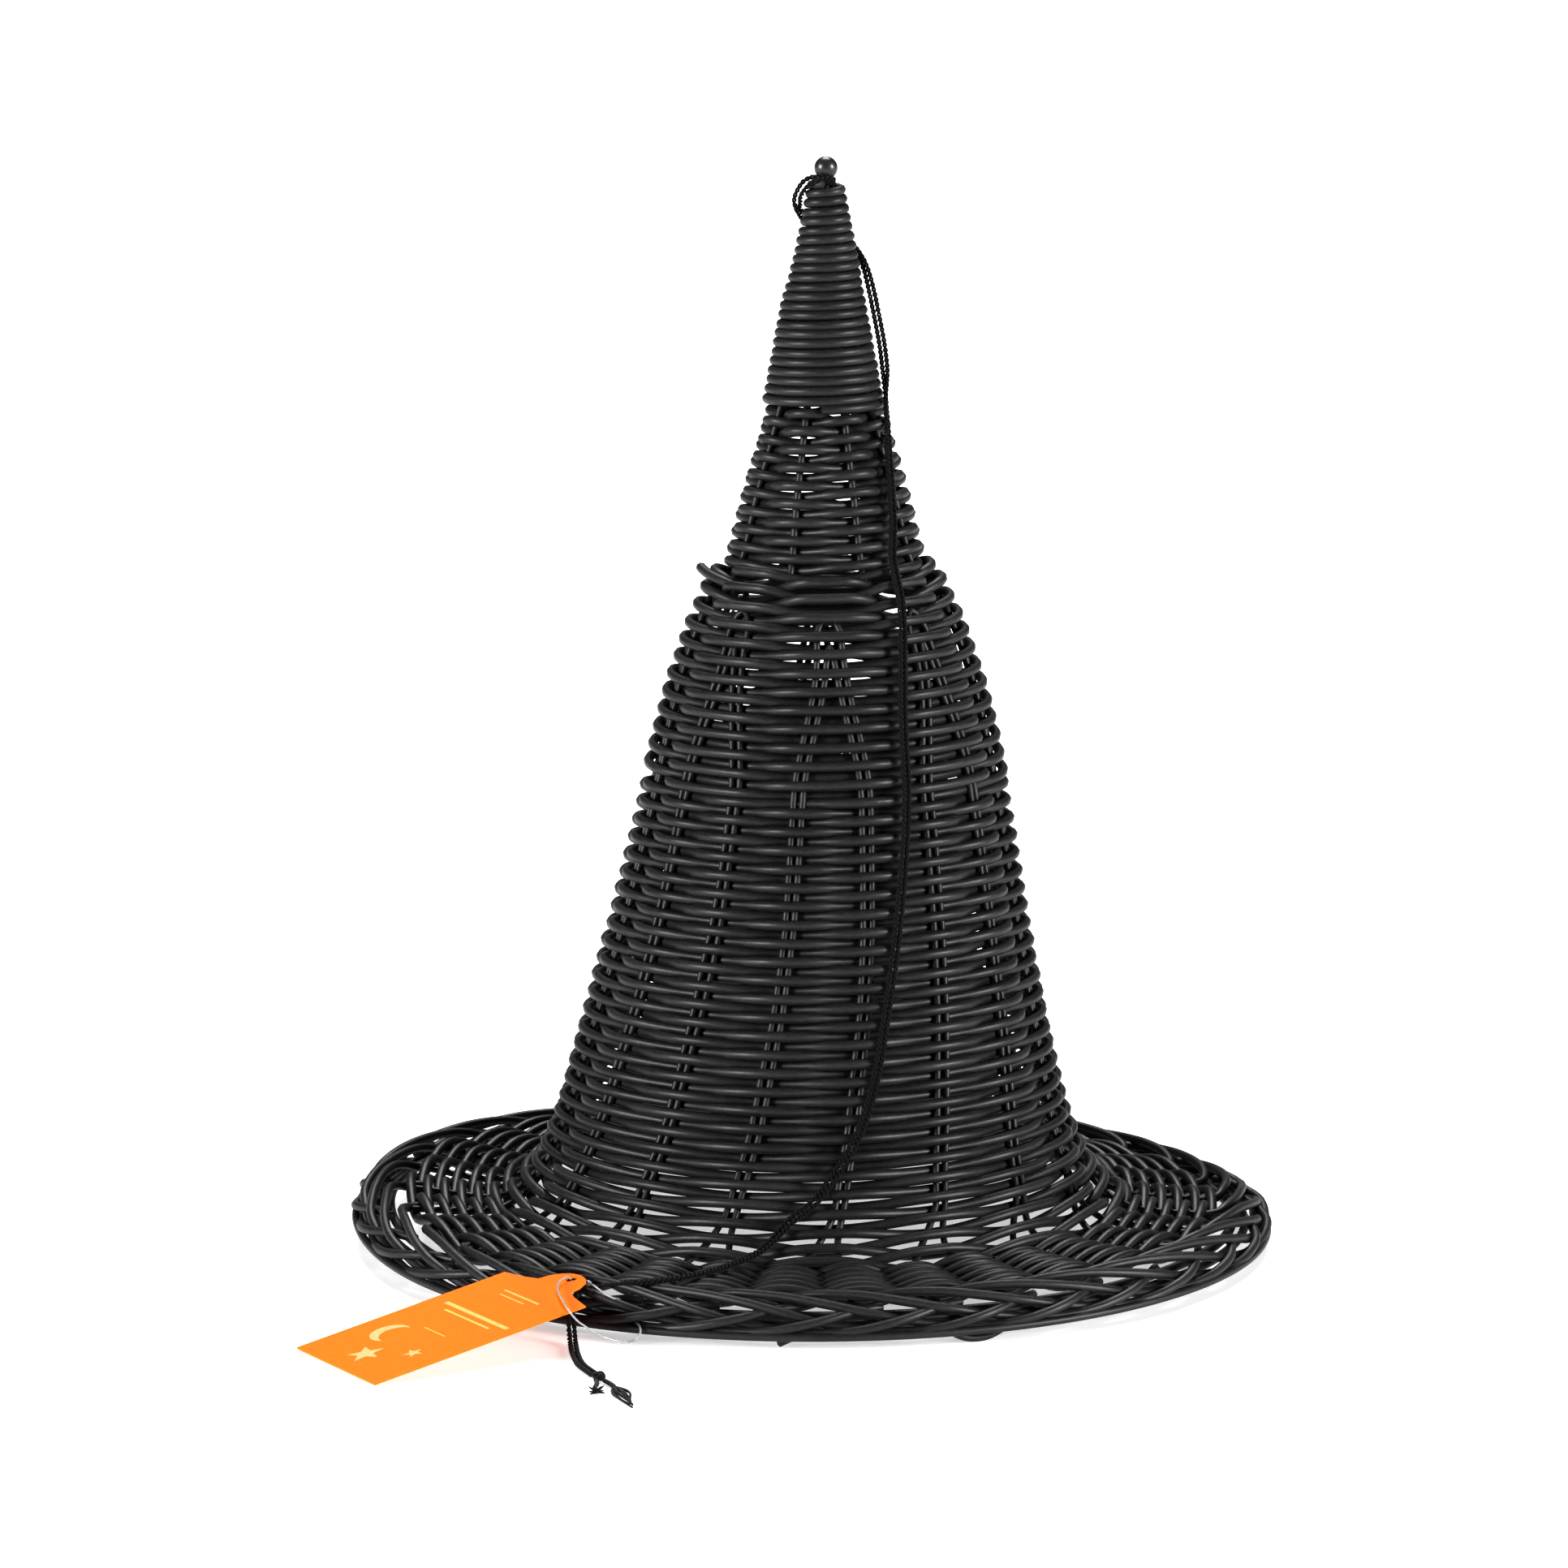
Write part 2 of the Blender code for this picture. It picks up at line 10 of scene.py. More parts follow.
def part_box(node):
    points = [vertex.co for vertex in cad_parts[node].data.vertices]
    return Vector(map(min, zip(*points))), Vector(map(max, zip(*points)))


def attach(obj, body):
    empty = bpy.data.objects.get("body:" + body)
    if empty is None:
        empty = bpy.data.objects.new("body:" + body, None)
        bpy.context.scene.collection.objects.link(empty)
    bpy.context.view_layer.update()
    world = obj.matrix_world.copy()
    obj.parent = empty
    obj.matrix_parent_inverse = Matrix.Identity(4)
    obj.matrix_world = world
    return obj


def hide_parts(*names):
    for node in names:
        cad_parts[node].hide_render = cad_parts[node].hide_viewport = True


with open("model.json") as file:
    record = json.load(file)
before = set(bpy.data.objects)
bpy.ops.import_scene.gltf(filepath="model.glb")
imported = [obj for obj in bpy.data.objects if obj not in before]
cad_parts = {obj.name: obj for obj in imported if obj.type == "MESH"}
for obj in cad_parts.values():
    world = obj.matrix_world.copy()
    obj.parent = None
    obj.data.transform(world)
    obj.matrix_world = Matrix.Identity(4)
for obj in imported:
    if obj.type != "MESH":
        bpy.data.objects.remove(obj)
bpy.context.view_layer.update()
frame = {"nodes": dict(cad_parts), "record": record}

MM = 0.001
TAU = 2 * math.pi
rng = np.random.default_rng(7)

# ---- sizes from the frame ----
BEAD_LOW, BEAD_HIGH = (corner[2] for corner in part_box("finial_bead"))
WRAP_BASE, WRAP_TOP = (corner[2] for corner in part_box("tip_wrap"))

# ---- canes ----
WEAVER_RADIUS = 1.81 * MM
WRAP_RADIUS = 1.7 * MM
STAKE_RADIUS = 1.3 * MM
HAIRPIN_RADIUS = 1.2 * MM
BORDER_CANE_RADIUS = 1.66 * MM
PEG_RADIUS = 1.1 * MM
FILAMENT_RADIUS = 0.36 * MM
PAIR_HALF = 1.66 * MM  # half the distance between the two stakes of a pair on the crown
CAP_RISE = 0.35  # how far a cane's end bulges, in its own radii
ROW_PITCH = 3.22 * MM  # one row of weaving to the next, down the wall
BRIM_STAKES = 32
FIRST_BRIM_STAKE = math.radians(5.625)  # its azimuth, half the spacing of the brim's stakes

# Each band of weaving from the tip down: how many groups of stakes it passes, and the azimuth of the first.
UPPER_BAND = (8, math.radians(22.5))
BUNDLE_BAND = (8, 0)
CROWN_BAND = (16, math.radians(11.25))
BRIM_BAND = (BRIM_STAKES, FIRST_BRIM_STAKE)
BUNDLE_SPACING = math.radians(45)

# The middle of the woven wall as in the frame, from the tip to the brim's edge: radius and height in mm.
OUTLINE_MM = (
    (1.8, 378), (11.6, 328), (17.2, 299), (26.2, 268), (32.5, 245), (43.5, 226), (56, 188), (69.5, 124),
    (80, 79), (87.5, 49), (94.5, 31), (102, 20.5), (114, 14.6), (128, 13.4), (146, 13.4), (150, 13.4),
)
# The stakes' slow turn round the hat: height in mm and azimuth in degrees.
TWIST = (
    (378, -1), (300, -1), (240, 0.5), (210, 2.2), (124, 2.3), (96, 1.2), (58, -1.9), (30, -5.7), (15, -9.5),
)
FRONT_CROWDING = 0.09  # how much closer the brim's stakes stand at the front than at the back

# The hand-made lean of the cone, the brim's curl on one side and its dip on the other.
LEAN, LEAN_FROM, LEAN_TO = 5 * MM, 33 * MM, 193 * MM
CURL, CURL_AZIMUTH, CURL_HALF_WIDTH = 5.5 * MM, math.radians(-100), math.radians(65)
DIP, DIP_AZIMUTH, DIP_HALF_WIDTH = 4 * MM, math.radians(122), math.radians(60)
CURL_FROM, CURL_TO = 105 * MM, 150 * MM
DIP_FROM, DIP_DEPTH = 4 * MM, 12 * MM  # the dip starts this high up and is full this much higher

WRAP_NARROW_FROM, WRAP_WIDE_TO = 352 * MM, 334 * MM  # the tip's wrapping is narrower above, wider below

# The shoulder's thickest rows, and how much further from the stakes they stand
SHOULDER_HEIGHT, SHOULDER_BULGE = 237 * MM, 0.8 * MM
BULGE_FULL, BULGE_NONE = 2 * MM, 9 * MM  # how far from there they bulge fully, and not at all

# Where the stakes start, turn over and end, by height
MAIN_STAKE_TOP, MAIN_STAKE_FOOT = 368 * MM, 236 * MM
TUCKED_FROM, UNTUCKED_FROM = 312 * MM, 296 * MM  # tucked in above the first, straight below the second
OUTER_BEND, INNER_BEND = 231 * MM, 221 * MM
BEND_DEPTH = 7 * MM  # how far down from its top a hairpin stake takes to turn over
BUNCHED_TO, PAIRED_FROM = 222 * MM, 168 * MM  # a bundle's four legs part into two pairs between these
PAIRED_TO, SINGLE_FROM = 32 * MM, 126 * MM  # and each pair parts between this height and this radius

# The brim's height where the border starts, and the border's own underside
BRIM_HEIGHT, RIM_UNDERSIDE = 13 * MM, 3.5 * MM
# The border: one stake end's way round the edge, in stake spacings along it, with radius and height in mm.
BORDER_WAY = (
    (-0.15, 139, 13.4), (0, 146, 13.9), (0.2, 149, 15.6), (0.5, 151.6, 16.7), (1, 154.4, 16.6),
    (1.5, 157.6, 15), (2, 160, 12.3), (2.4, 159.6, 9.4), (2.9, 159.4, 6.6), (3.4, 161, 5.4),
    (3.9, 163, 6.8), (4.4, 162.9, 9.8), (4.9, 157.4, 12.4), (5.2, 153.5, 12.6),
)
# Plain rings of cane in the border: radius, height and cane radius in mm
BORDER_RINGS = ((163.4, 4.9, 1.45), (155.2, 7.2, 1.6), (151, 9, 1.7))

# The cord's two strands leave the hitch apart, the looser one first, as in the frame.
CORD_STARTS_MM = (
    ((1, -0.5, 379.8), (-1, -0.7, 379.3), (-3.3, -0.8, 377.7), (-5.4, -0.7, 374.2), (-6.1, -0.3, 371.2),
     (-5.3, 0.7, 368.2)),
    ((6.5, -3.9, 379.4), (1.9, -5.9, 379), (-0.8, -5, 377.3), (-2.7, -3.2, 375), (-3.9, -1.2, 372.6),
     (-3.9, 1, 370.3)),
)
# Their way on together: azimuth in degrees, height and stand-off in mm, and the pair's turn in degrees.
CORD_ON_CONE = (
    (-106, 366.8, 1.6, 0), (-130, 364, 1.15, 0), (-158, 361.5, 1.15, 0), (174, 359, 1.15, 0),
    (148, 356, 1.15, 0), (122, 352.5, 1.25, 0), (101, 347, 1.7, 40), (91, 339, 2.15, 80),
    (87.5, 330, 2.3, 90), (84, 320, 2.4, 90), (80, 310.5, 2, 75), (70, 301, 1.4, 20),
    (55, 284, 1.15, 0), (44.7, 262, 1.15, 0), (39, 249, 1.6, 0), (37, 242, 2.2, 0),
    (34.6, 233, 2.2, 0), (32.8, 226, 1.5, 0), (31.2, 219, 1.15, 0), (26.5, 193, 1.15, 0),
    (25.4, 169, 1.15, 0), (22.9, 142, 1.15, 0), (19.9, 116, 1.15, 0), (17.2, 96, 1.15, 0),
    (15.5, 83, 1.2, 0), (13.4, 70, 1.3, 0), (11, 59.5, 1.6, 0), (7.8, 49.5, 1.6, 0),
    (4.4, 41.5, 1.3, 0), (0.4, 33, 1.3, 0), (-4.2, 26.5, 1.5, 0),
)
CORD_ON_BRIM_MM = (
    (-16.9, -110, 21.8), (-27.8, -121.5, 19.3), (-38.2, -132.4, 19), (-48.6, -139.4, 18.9),
    (-59.2, -141.6, 18.4), (-69, -139.6, 17.2), (-75.2, -139.3, 15), (-79.2, -142.4, 14.3),
    (-80.8, -147.4, 12.2), (-80.8, -150.8, 7.2), (-80.4, -154.4, 2.9), (-79.8, -160, 1.15),
    (-78.6, -172, 1.1), (-76.4, -184, 1.1), (-73, -193, 1.1), (-71.4, -197.2, 1.1),
)
CORD_STAND_OFF = 4.4 * MM
CORD_RADIUS = 0.75 * MM
CORD_APART = 1.8 * MM
CORD_FULLNESS = 1.24  # the twisted plies stand a little proud of the cord's round section
FULLNESS_AT_TAG = 0.76  # and lie close beside the tag, to leave room for it to lift
TAG_NEAR, TAG_FAR = 14 * MM, 22 * MM  # fully so within the first distance of its hole, not past the second
PLY_TURN = 3.6 * MM  # the length of cord in one turn of its plies
PLIES = 2
CORD_SIDES = 6
# Where each strand leaves the knot and lies on the floor, the short end first
FRAYED_ENDS_MM = (
    ((-70.6, -203.4, 1), (-70.4, -208, 1), (-70.9, -213, 1), (-69.8, -219.5, 1)),
    ((-68.2, -203.2, 1), (-65.4, -209, 1), (-62.8, -218, 1), (-60.6, -226, 1), (-57.6, -236, 1)),
)
# The tag's filament, from the tag's hole down in front of the rim, back under it and up through the border
LOOP_ROUTE_MM = (
    (-81.35, -136.6, 18.2), (-83, -138.4, 19.3), (-85.4, -143.6, 18.6), (-85, -152.3, 17.7),
    (-82.8, -162.6, 16.8), (-80.8, -170, 15.8), (-78.2, -172.6, 13.4), (-76.2, -168.5, 10.6),
    (-71.1, -162, 5.4), (-65.4, -158.8, 2.6), (-61.7, -156.4, 1.5), (-58.6, -157, 2.8),
    (-57.4, -156.6, 5.4), (-58.2, -152.8, 6.66), (-59.6, -149.2, 6.68), (-60.8, -146, 7.8),
    (-62.6, -144.4, 10.5), (-64.8, -144.6, 13.2), (-66.9, -147.7, 14.5), (-70.4, -145.6, 16),
    (-73.6, -141.4, 17.3), (-76.2, -137.8, 17.3), (-79.4, -136.7, 16.9), (-80.8, -136.5, 17.3),
)
# Stake ends seen under the rim: azimuth in degrees, radius in mm, and a short loop or a cut end
REST_ENDS = (
    (20.5, 160, "loop"), (-3, 159, "end"), (92, 160, "loop"), (152, 159, "end"), (-166, 160, "loop"),
    (-64, 159, "end"),
)


# ---- the hand-made shape ----
def smooth_step(value, low, high):
    """0 below low and 1 above high, easing between them."""
    t = np.clip((value - low) / (high - low), 0, 1)
    return t * t * (3 - 2 * t)


def window(azimuth, centre, half_width):
    """1 at the centre azimuth, easing to 0 at half_width on each side of it."""
    away = np.abs((azimuth - centre + math.pi) % TAU - math.pi) / half_width
    return np.where(away < 1, np.cos(np.minimum(away, 1) * math.pi / 2) ** 2, 0)


def seat(points, dipped=True):
    """Points of the true cone and flat brim, moved to where the leaning, curled hat has them."""
    points = np.array(points, float)
    azimuth = np.arctan2(points[..., 0], -points[..., 1])
    radius = np.hypot(points[..., 0], points[..., 1])
    edge = smooth_step(radius, CURL_FROM, CURL_TO)
    above = np.clip((points[..., 2] - DIP_FROM) / DIP_DEPTH, 0, 1)
    points[..., 0] += LEAN * smooth_step(points[..., 2], LEAN_FROM, LEAN_TO)
    points[..., 2] += edge * CURL * window(azimuth, CURL_AZIMUTH, CURL_HALF_WIDTH)
    if dipped:
        points[..., 2] -= edge * DIP * above * window(azimuth, DIP_AZIMUTH, DIP_HALF_WIDTH)
    return points


def smooth_line(points, steps, closed=False):
    """Points along a Catmull-Rom curve through the given ones."""
    points = np.array(points, float)
    if closed:
        padded = np.vstack([points[-1], points, points[:2]])
    else:
        padded = np.vstack([2 * points[0] - points[1], points, 2 * points[-1] - points[-2]])
    t = (np.arange(steps) / steps)[:, None]
    line = []
    for a, b, c, d in zip(padded, padded[1:], padded[2:], padded[3:]):
        square, cube = 2 * a - 5 * b + 4 * c - d, 3 * b - a - 3 * c + d
        line.append(0.5 * (2 * b + (c - a) * t + square * t**2 + cube * t**3))
    if not closed:
        line.append(points[-1:])
    return np.vstack(line)


class Wall:
    """The middle line of the woven wall, measured along itself from the tip."""

    def __init__(self):
        self.line = smooth_line(np.array(OUTLINE_MM) * MM, 24)
        step = np.diff(self.line, axis=0)
        self.along = np.concatenate([[0], np.cumsum(np.hypot(*step.T))])
        way = np.gradient(self.line, self.along, axis=0)
        way /= np.hypot(*way.T)[:, None]
        self.normal = np.stack([-way[:, 1], way[:, 0]], 1)

    def at_height(self, height):
        """How far along the wall it first comes down to that height."""
        k = np.argmax(self.line[:, 1] <= height)
        a, b = self.line[k - 1], self.line[k]
        return self.along[k - 1] + (self.along[k] - self.along[k - 1]) * (a[1] - height) / (a[1] - b[1])

    def at_radius(self, radius):
        """How far along the wall it has that radius."""
        return np.interp(radius, self.line[:, 0], self.along)

    def spot(self, s, off=0):
        """Radius and height at s, moved outwards by off."""
        r, z = (np.interp(s, self.along, self.line[:, k]) for k in (0, 1))
        nr, nz = (np.interp(s, self.along, self.normal[:, k]) for k in (0, 1))
        return r + nr * off, z + nz * off, nr, nz


wall = Wall()
SHOULDER_TOP, CROWN_TOP = wall.at_height(244 * MM), wall.at_height(168 * MM)
FLARE_TOP = wall.at_height(36 * MM)
BRIM_START, BRIM_END = wall.at_radius(113 * MM), wall.at_radius(146.5 * MM)


def twist(height):
    """The stakes' turn round the hat at that height."""
    heights, turns = zip(*reversed(TWIST))
    return np.radians(np.interp(height, np.array(heights) * MM, turns))


def place(azimuth, s, off):
    """Points of the hat by azimuth among the stakes and place along the wall, with their ways out of it."""
    azimuth, s, off = np.broadcast_arrays(np.asarray(azimuth, float), s, off)
    r, z, nr, nz = wall.spot(s, off)
    turned = azimuth + twist(wall.spot(s)[1])
    turned = turned - FRONT_CROWDING * smooth_step(s, FLARE_TOP, BRIM_START) * np.sin(turned)
    points = np.stack([r * np.sin(turned), -r * np.cos(turned), z], -1)
    outs = np.stack([nr * np.sin(turned), -nr * np.cos(turned), nz], -1)
    return seat(points), outs


def slow_noise(count, spacing, amount):
    """Smooth seeded noise, one value for each of count points, changing over spacing of them."""
    knots = rng.normal(0, amount, int(count / spacing) + 4)
    at = np.arange(count) / spacing
    k = at.astype(int)
    t = (at - k) ** 2 * (3 - 2 * (at - k))
    return knots[k] * (1 - t) + knots[k + 1] * t


# ---- meshes ----
def unit(vectors):
    """The vectors at length one."""
    return vectors / np.maximum(np.linalg.norm(vectors, axis=-1, keepdims=True), 1e-12)


def carried(line):
    """A way across the line at each of its points, turning no more than the line does."""
    tangents = unit(np.gradient(line, axis=0))
    first = np.cross(tangents[0], (0, 0, 1) if abs(tangents[0][2]) < 0.9 else (1, 0, 0))
    ways = [unit(first)]
    for tangent in tangents[1:]:
        ways.append(unit(ways[-1] - tangent * ways[-1].dot(tangent)))
    return np.array(ways)


def distance_along(line):
    """How far along the line each of its points is."""
    return np.concatenate([[0], np.cumsum(np.linalg.norm(np.diff(line, axis=0), axis=1))])


CLOSING_STEP = 2 * MM  # the UV length of a closed cane's last piece


def tube_mesh(name, canes, sides=8):
    """One mesh of round canes, each (points, ways out or None, radii, closed). UVs run round and along."""
    vertices, faces, uvs, count = [], [], [], 0
    angles = math.pi + TAU * np.arange(sides) / sides
    for line, outs, radii, closed in canes:
        line = np.asarray(line, float)
        n, base = len(line), count
        if closed:
            tangents = unit(np.roll(line, -1, 0) - np.roll(line, 1, 0))
        else:
            tangents = unit(np.gradient(line, axis=0))
        outs = carried(line) if outs is None else outs
        across = unit(np.cross(tangents, outs))
        up = np.cross(across, tangents)
        radii = np.broadcast_to(radii, (n,))
        ring = np.cos(angles)[None, :, None] * up[:, None] + np.sin(angles)[None, :, None] * across[:, None]
        vertices.append((line[:, None] + ring * radii[:, None, None]).reshape(-1, 3))
        along = distance_along(line)
        rows = n if closed else n - 1
        i, k = np.meshgrid(np.arange(rows), np.arange(sides), indexing="ij")
        nxt, side = (i + 1) % n, (k + 1) % sides
        quads = np.stack([i * sides + k, i * sides + side, nxt * sides + side, nxt * sides + k], -1)
        faces += (quads.reshape(-1, 4) + count).tolist()
        high = np.where(i + 1 < n, along[nxt], along[-1] + CLOSING_STEP)
        u0, u1 = k / sides, (k + 1) / sides
        quad_uv = np.stack([np.stack([u0, along[i]], -1), np.stack([u1, along[i]], -1),
                            np.stack([u1, high], -1), np.stack([u0, high], -1)], -2)
        uvs.append(quad_uv.reshape(-1, 2))
        count += n * sides
        if not closed:
            for end, way in ((0, -1), (n - 1, 1)):
                vertices.append((line[end] + tangents[end] * radii[end] * CAP_RISE * way)[None])
                for j in range(sides):
                    a, b = base + end * sides + j, base + end * sides + (j + 1) % sides
                    faces.append((a, b, count) if way == 1 else (b, a, count))
                    uvs.append(np.array([[0.5, along[end]]] * 3))
                count += 1
    mesh = bpy.data.meshes.new(name)
    vertices = np.vstack(vertices)
    mesh.from_pydata(vertices.tolist(), [], faces)
    layer = mesh.uv_layers.new(name="cane")
    layer.data.foreach_set("uv", np.vstack(uvs).astype(np.float32).ravel())
    mesh.shade_smooth()
    mesh.set_sharp_from_angle(angle=math.radians(60))
    return mesh


def add_piece(name, mesh, material, nodes=(), body="hat"):
    """A shown object of that mesh, riding on a body and standing for CAD nodes."""
    obj = bpy.data.objects.new(name, mesh)
    bpy.context.scene.collection.objects.link(obj)
    obj.data.materials.clear()
    obj.data.materials.append(material)
    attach(obj, body)
    if nodes:
        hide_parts(*nodes)
    return obj


# ---- materials ----
def shader_nodes(name):
    """A new material with its node tree and its Principled shader."""
    material = bpy.data.materials.new(name)
    material.use_nodes = True
    tree = material.node_tree
    return material, tree, tree.nodes["Principled BSDF"]


def add_node(tree, kind, inputs=None, **settings):
    """A node with its inputs set to values or linked from sockets."""
    node = tree.nodes.new(kind)
    for key, value in settings.items():
        setattr(node, key, value)
    for key, value in (inputs or {}).items():
        if isinstance(value, bpy.types.NodeSocket):
            tree.links.new(value, node.inputs[key])
        else:
            node.inputs[key].default_value = value
    return node


def colour_ramp(tree, factor, stops):
    """The factor turned into a colour between the stops, each (position, colour)."""
    ramp = add_node(tree, "ShaderNodeValToRGB", {"Fac": factor})
    elements = ramp.color_ramp.elements
    while len(elements) < len(stops):
        elements.new(0.5)
    for element, (position, colour) in zip(elements, stops):
        element.position = position
        element.color = (*colour, 1)
    return ramp.outputs["Color"]


def set_inputs(node, values):
    """The node's inputs set to values, by name."""
    for name, value in values.items():
        node.inputs[name].default_value = value


def stretched_noise(tree, stretch, scale, detail, roughness=0.5):
    """Noise drawn out along a cane, by the stretch of its UVs."""
    uv = add_node(tree, "ShaderNodeUVMap", uv_map="cane").outputs["UV"]
    at = add_node(tree, "ShaderNodeMapping", {"Vector": uv, "Scale": stretch}).outputs["Vector"]
    settings = {"Vector": at, "Scale": scale, "Detail": detail, "Roughness": roughness}
    return add_node(tree, "ShaderNodeTexNoise", settings).outputs["Fac"]


def add_bump(tree, shader, height, strength, depth):
    """Fine relief on the shader's surface."""
    bump = add_node(tree, "ShaderNodeBump", {"Height": height, "Strength": strength, "Distance": depth})
    tree.links.new(bump.outputs["Normal"], shader.inputs["Normal"])


def cane_material(name, dark, light, roughness):
    """Black-stained cane: fine grain along each strand, slow changes of tone, satin gloss."""
    material, tree, shader = shader_nodes(name)
    grain = stretched_noise(tree, (9, 260, 1), 1.6, 5, 0.65)
    patch = stretched_noise(tree, (0.6, 28, 1), 1, 3)
    grain_share = 0.45
    both = add_node(tree, "ShaderNodeMath", {0: grain, 1: grain_share}, operation="MULTIPLY").outputs[0]
    both = add_node(tree, "ShaderNodeMath", {0: patch, 1: 1 - grain_share, 2: both},
                    operation="MULTIPLY_ADD").outputs[0]
    tree.links.new(colour_ramp(tree, both, ((0.3, dark), (0.7, light))), shader.inputs["Base Color"])
    rough = add_node(tree, "ShaderNodeMapRange", {"Value": grain, "To Min": roughness - 0.07,
                                                  "To Max": roughness + 0.12}).outputs["Result"]
    tree.links.new(rough, shader.inputs["Roughness"])
    set_inputs(shader, {"Specular IOR Level": 0.34})
    add_bump(tree, shader, grain, 0.22, 0.2 * MM)
    return material


def cord_material():
    """Black cotton cord: dull, with fine fibres along it."""
    material, tree, shader = shader_nodes("black_cord")
    fibre = stretched_noise(tree, (5, 900, 1), 2, 4)
    stops = ((0.3, (0.001, 0.001, 0.001)), (0.75, (0.004, 0.004, 0.0045)))
    tree.links.new(colour_ramp(tree, fibre, stops), shader.inputs["Base Color"])
    set_inputs(shader, {"Roughness": 0.85, "Specular IOR Level": 0.2, "Sheen Weight": 0.1,
                        "Sheen Roughness": 0.5})
    add_bump(tree, shader, fibre, 0.5, 0.2 * MM)
    return material


def bead_material():
    """Black-stained turned wood or plastic with a satin gloss."""
    material, tree, shader = shader_nodes("bead")
    noise = add_node(tree, "ShaderNodeTexNoise", {"Scale": 600, "Detail": 3}).outputs["Fac"]
    stops = ((0.35, (0.012, 0.012, 0.012)), (0.7, (0.028, 0.028, 0.03)))
    tree.links.new(colour_ramp(tree, noise, stops), shader.inputs["Base Color"])
    set_inputs(shader, {"Roughness": 0.34})
    return material


def card_material():
    """Orange printed card with a faint fibre."""
    material, tree, shader = shader_nodes("tag_card")
    place_at = add_node(tree, "ShaderNodeTexCoord").outputs["Object"]
    settings = {"Vector": place_at, "Scale": 900, "Detail": 4}
    fibre = add_node(tree, "ShaderNodeTexNoise", settings).outputs["Fac"]
    stops = ((0.3, (0.8, 0.152, 0.003)), (0.7, (0.86, 0.178, 0.0045)))
    tree.links.new(colour_ramp(tree, fibre, stops), shader.inputs["Base Color"])
    set_inputs(shader, {"Roughness": 0.55, "Specular IOR Level": 0.12})
    add_bump(tree, shader, fibre, 0.08, 0.1 * MM)
    return material


def print_material(name, colour):
    """Printing ink of that colour, very slightly uneven."""
    material, tree, shader = shader_nodes(name)
    speck = add_node(tree, "ShaderNodeTexNoise", {"Scale": 1500, "Detail": 3}).outputs["Fac"]
    darker = tuple(c * 0.85 for c in colour)
    stops = ((0.3, darker), (0.6, colour))
    tree.links.new(colour_ramp(tree, speck, stops), shader.inputs["Base Color"])
    set_inputs(shader, {"Roughness": 0.5, "Specular IOR Level": 0.2})
    return material


def clear_material():
    """Clear plastic filament, slightly milky."""
    material, _, shader = shader_nodes("clear_filament")
    set_inputs(shader, {"Base Color": (0.42, 0.43, 0.45, 1), "Roughness": 0.12, "IOR": 1.46,
                        "Transmission Weight": 0.35})
    return material


def floor_material():
    """A pale studio floor, lit a little from itself so that it stays even and white."""
    material, _, shader = shader_nodes("pale_floor")
    set_inputs(shader, {"Base Color": (0.62, 0.62, 0.62, 1), "Roughness": 0.7, "Specular IOR Level": 0.2,
                        "Emission Color": (1, 1, 1, 1), "Emission Strength": 0.6})
    return material


CANE = cane_material("black_cane", (0.0055, 0.0053, 0.0057), (0.03, 0.0288, 0.0306), 0.44)
CORD = cord_material()
BEAD = bead_material()
CARD = card_material()
FOIL = print_material("pale_gold_print", (0.46, 0.385, 0.17))
PALE = print_material("cream_print", (0.8, 0.4, 0.12))
CLEAR = clear_material()


# ---- stakes ----
def leg_azimuth(s, side, outer):
    """A hairpin leg's azimuth from its bundle's middle: bunched on top, in pairs below, even on the brim."""
    r, z, _, _ = wall.spot(s)
    bunched, opening = 3.4, 7.85  # a pair's way from the bundle's middle, in degrees, and how much it grows
    pair = np.radians(bunched + opening * smooth_step(-z, -BUNCHED_TO, -PAIRED_FROM))
    crown_half = PAIR_HALF / r
    spread = smooth_step(s, wall.at_height(PAIRED_TO), wall.at_radius(SINGLE_FROM))
    half = crown_half + (FIRST_BRIM_STAKE - crown_half) * spread
    return side * (pair + np.where(outer, half, -half))


def make_main_stake(number):
    """A straight stake of the cone, tucked in under the tip's wrapping."""
    count, tuck = 60, 1.2 * MM
    s = np.linspace(wall.at_height(MAIN_STAKE_TOP), wall.at_height(MAIN_STAKE_FOOT), count)
    tucked = -tuck * (1 - smooth_step(s, wall.at_height(TUCKED_FROM), wall.at_height(UNTUCKED_FROM)))
    azimuth = BUNDLE_SPACING * number + UPPER_BAND[1] + slow_noise(count, 12, 0.004)
    line, outs = place(azimuth, s, tucked)
    name = f"main_stake_{number + 1}"
    mesh = tube_mesh(name, [(line, outs, STAKE_RADIUS, False)])
    add_piece(f"{name}_cane", mesh, CANE, [name])


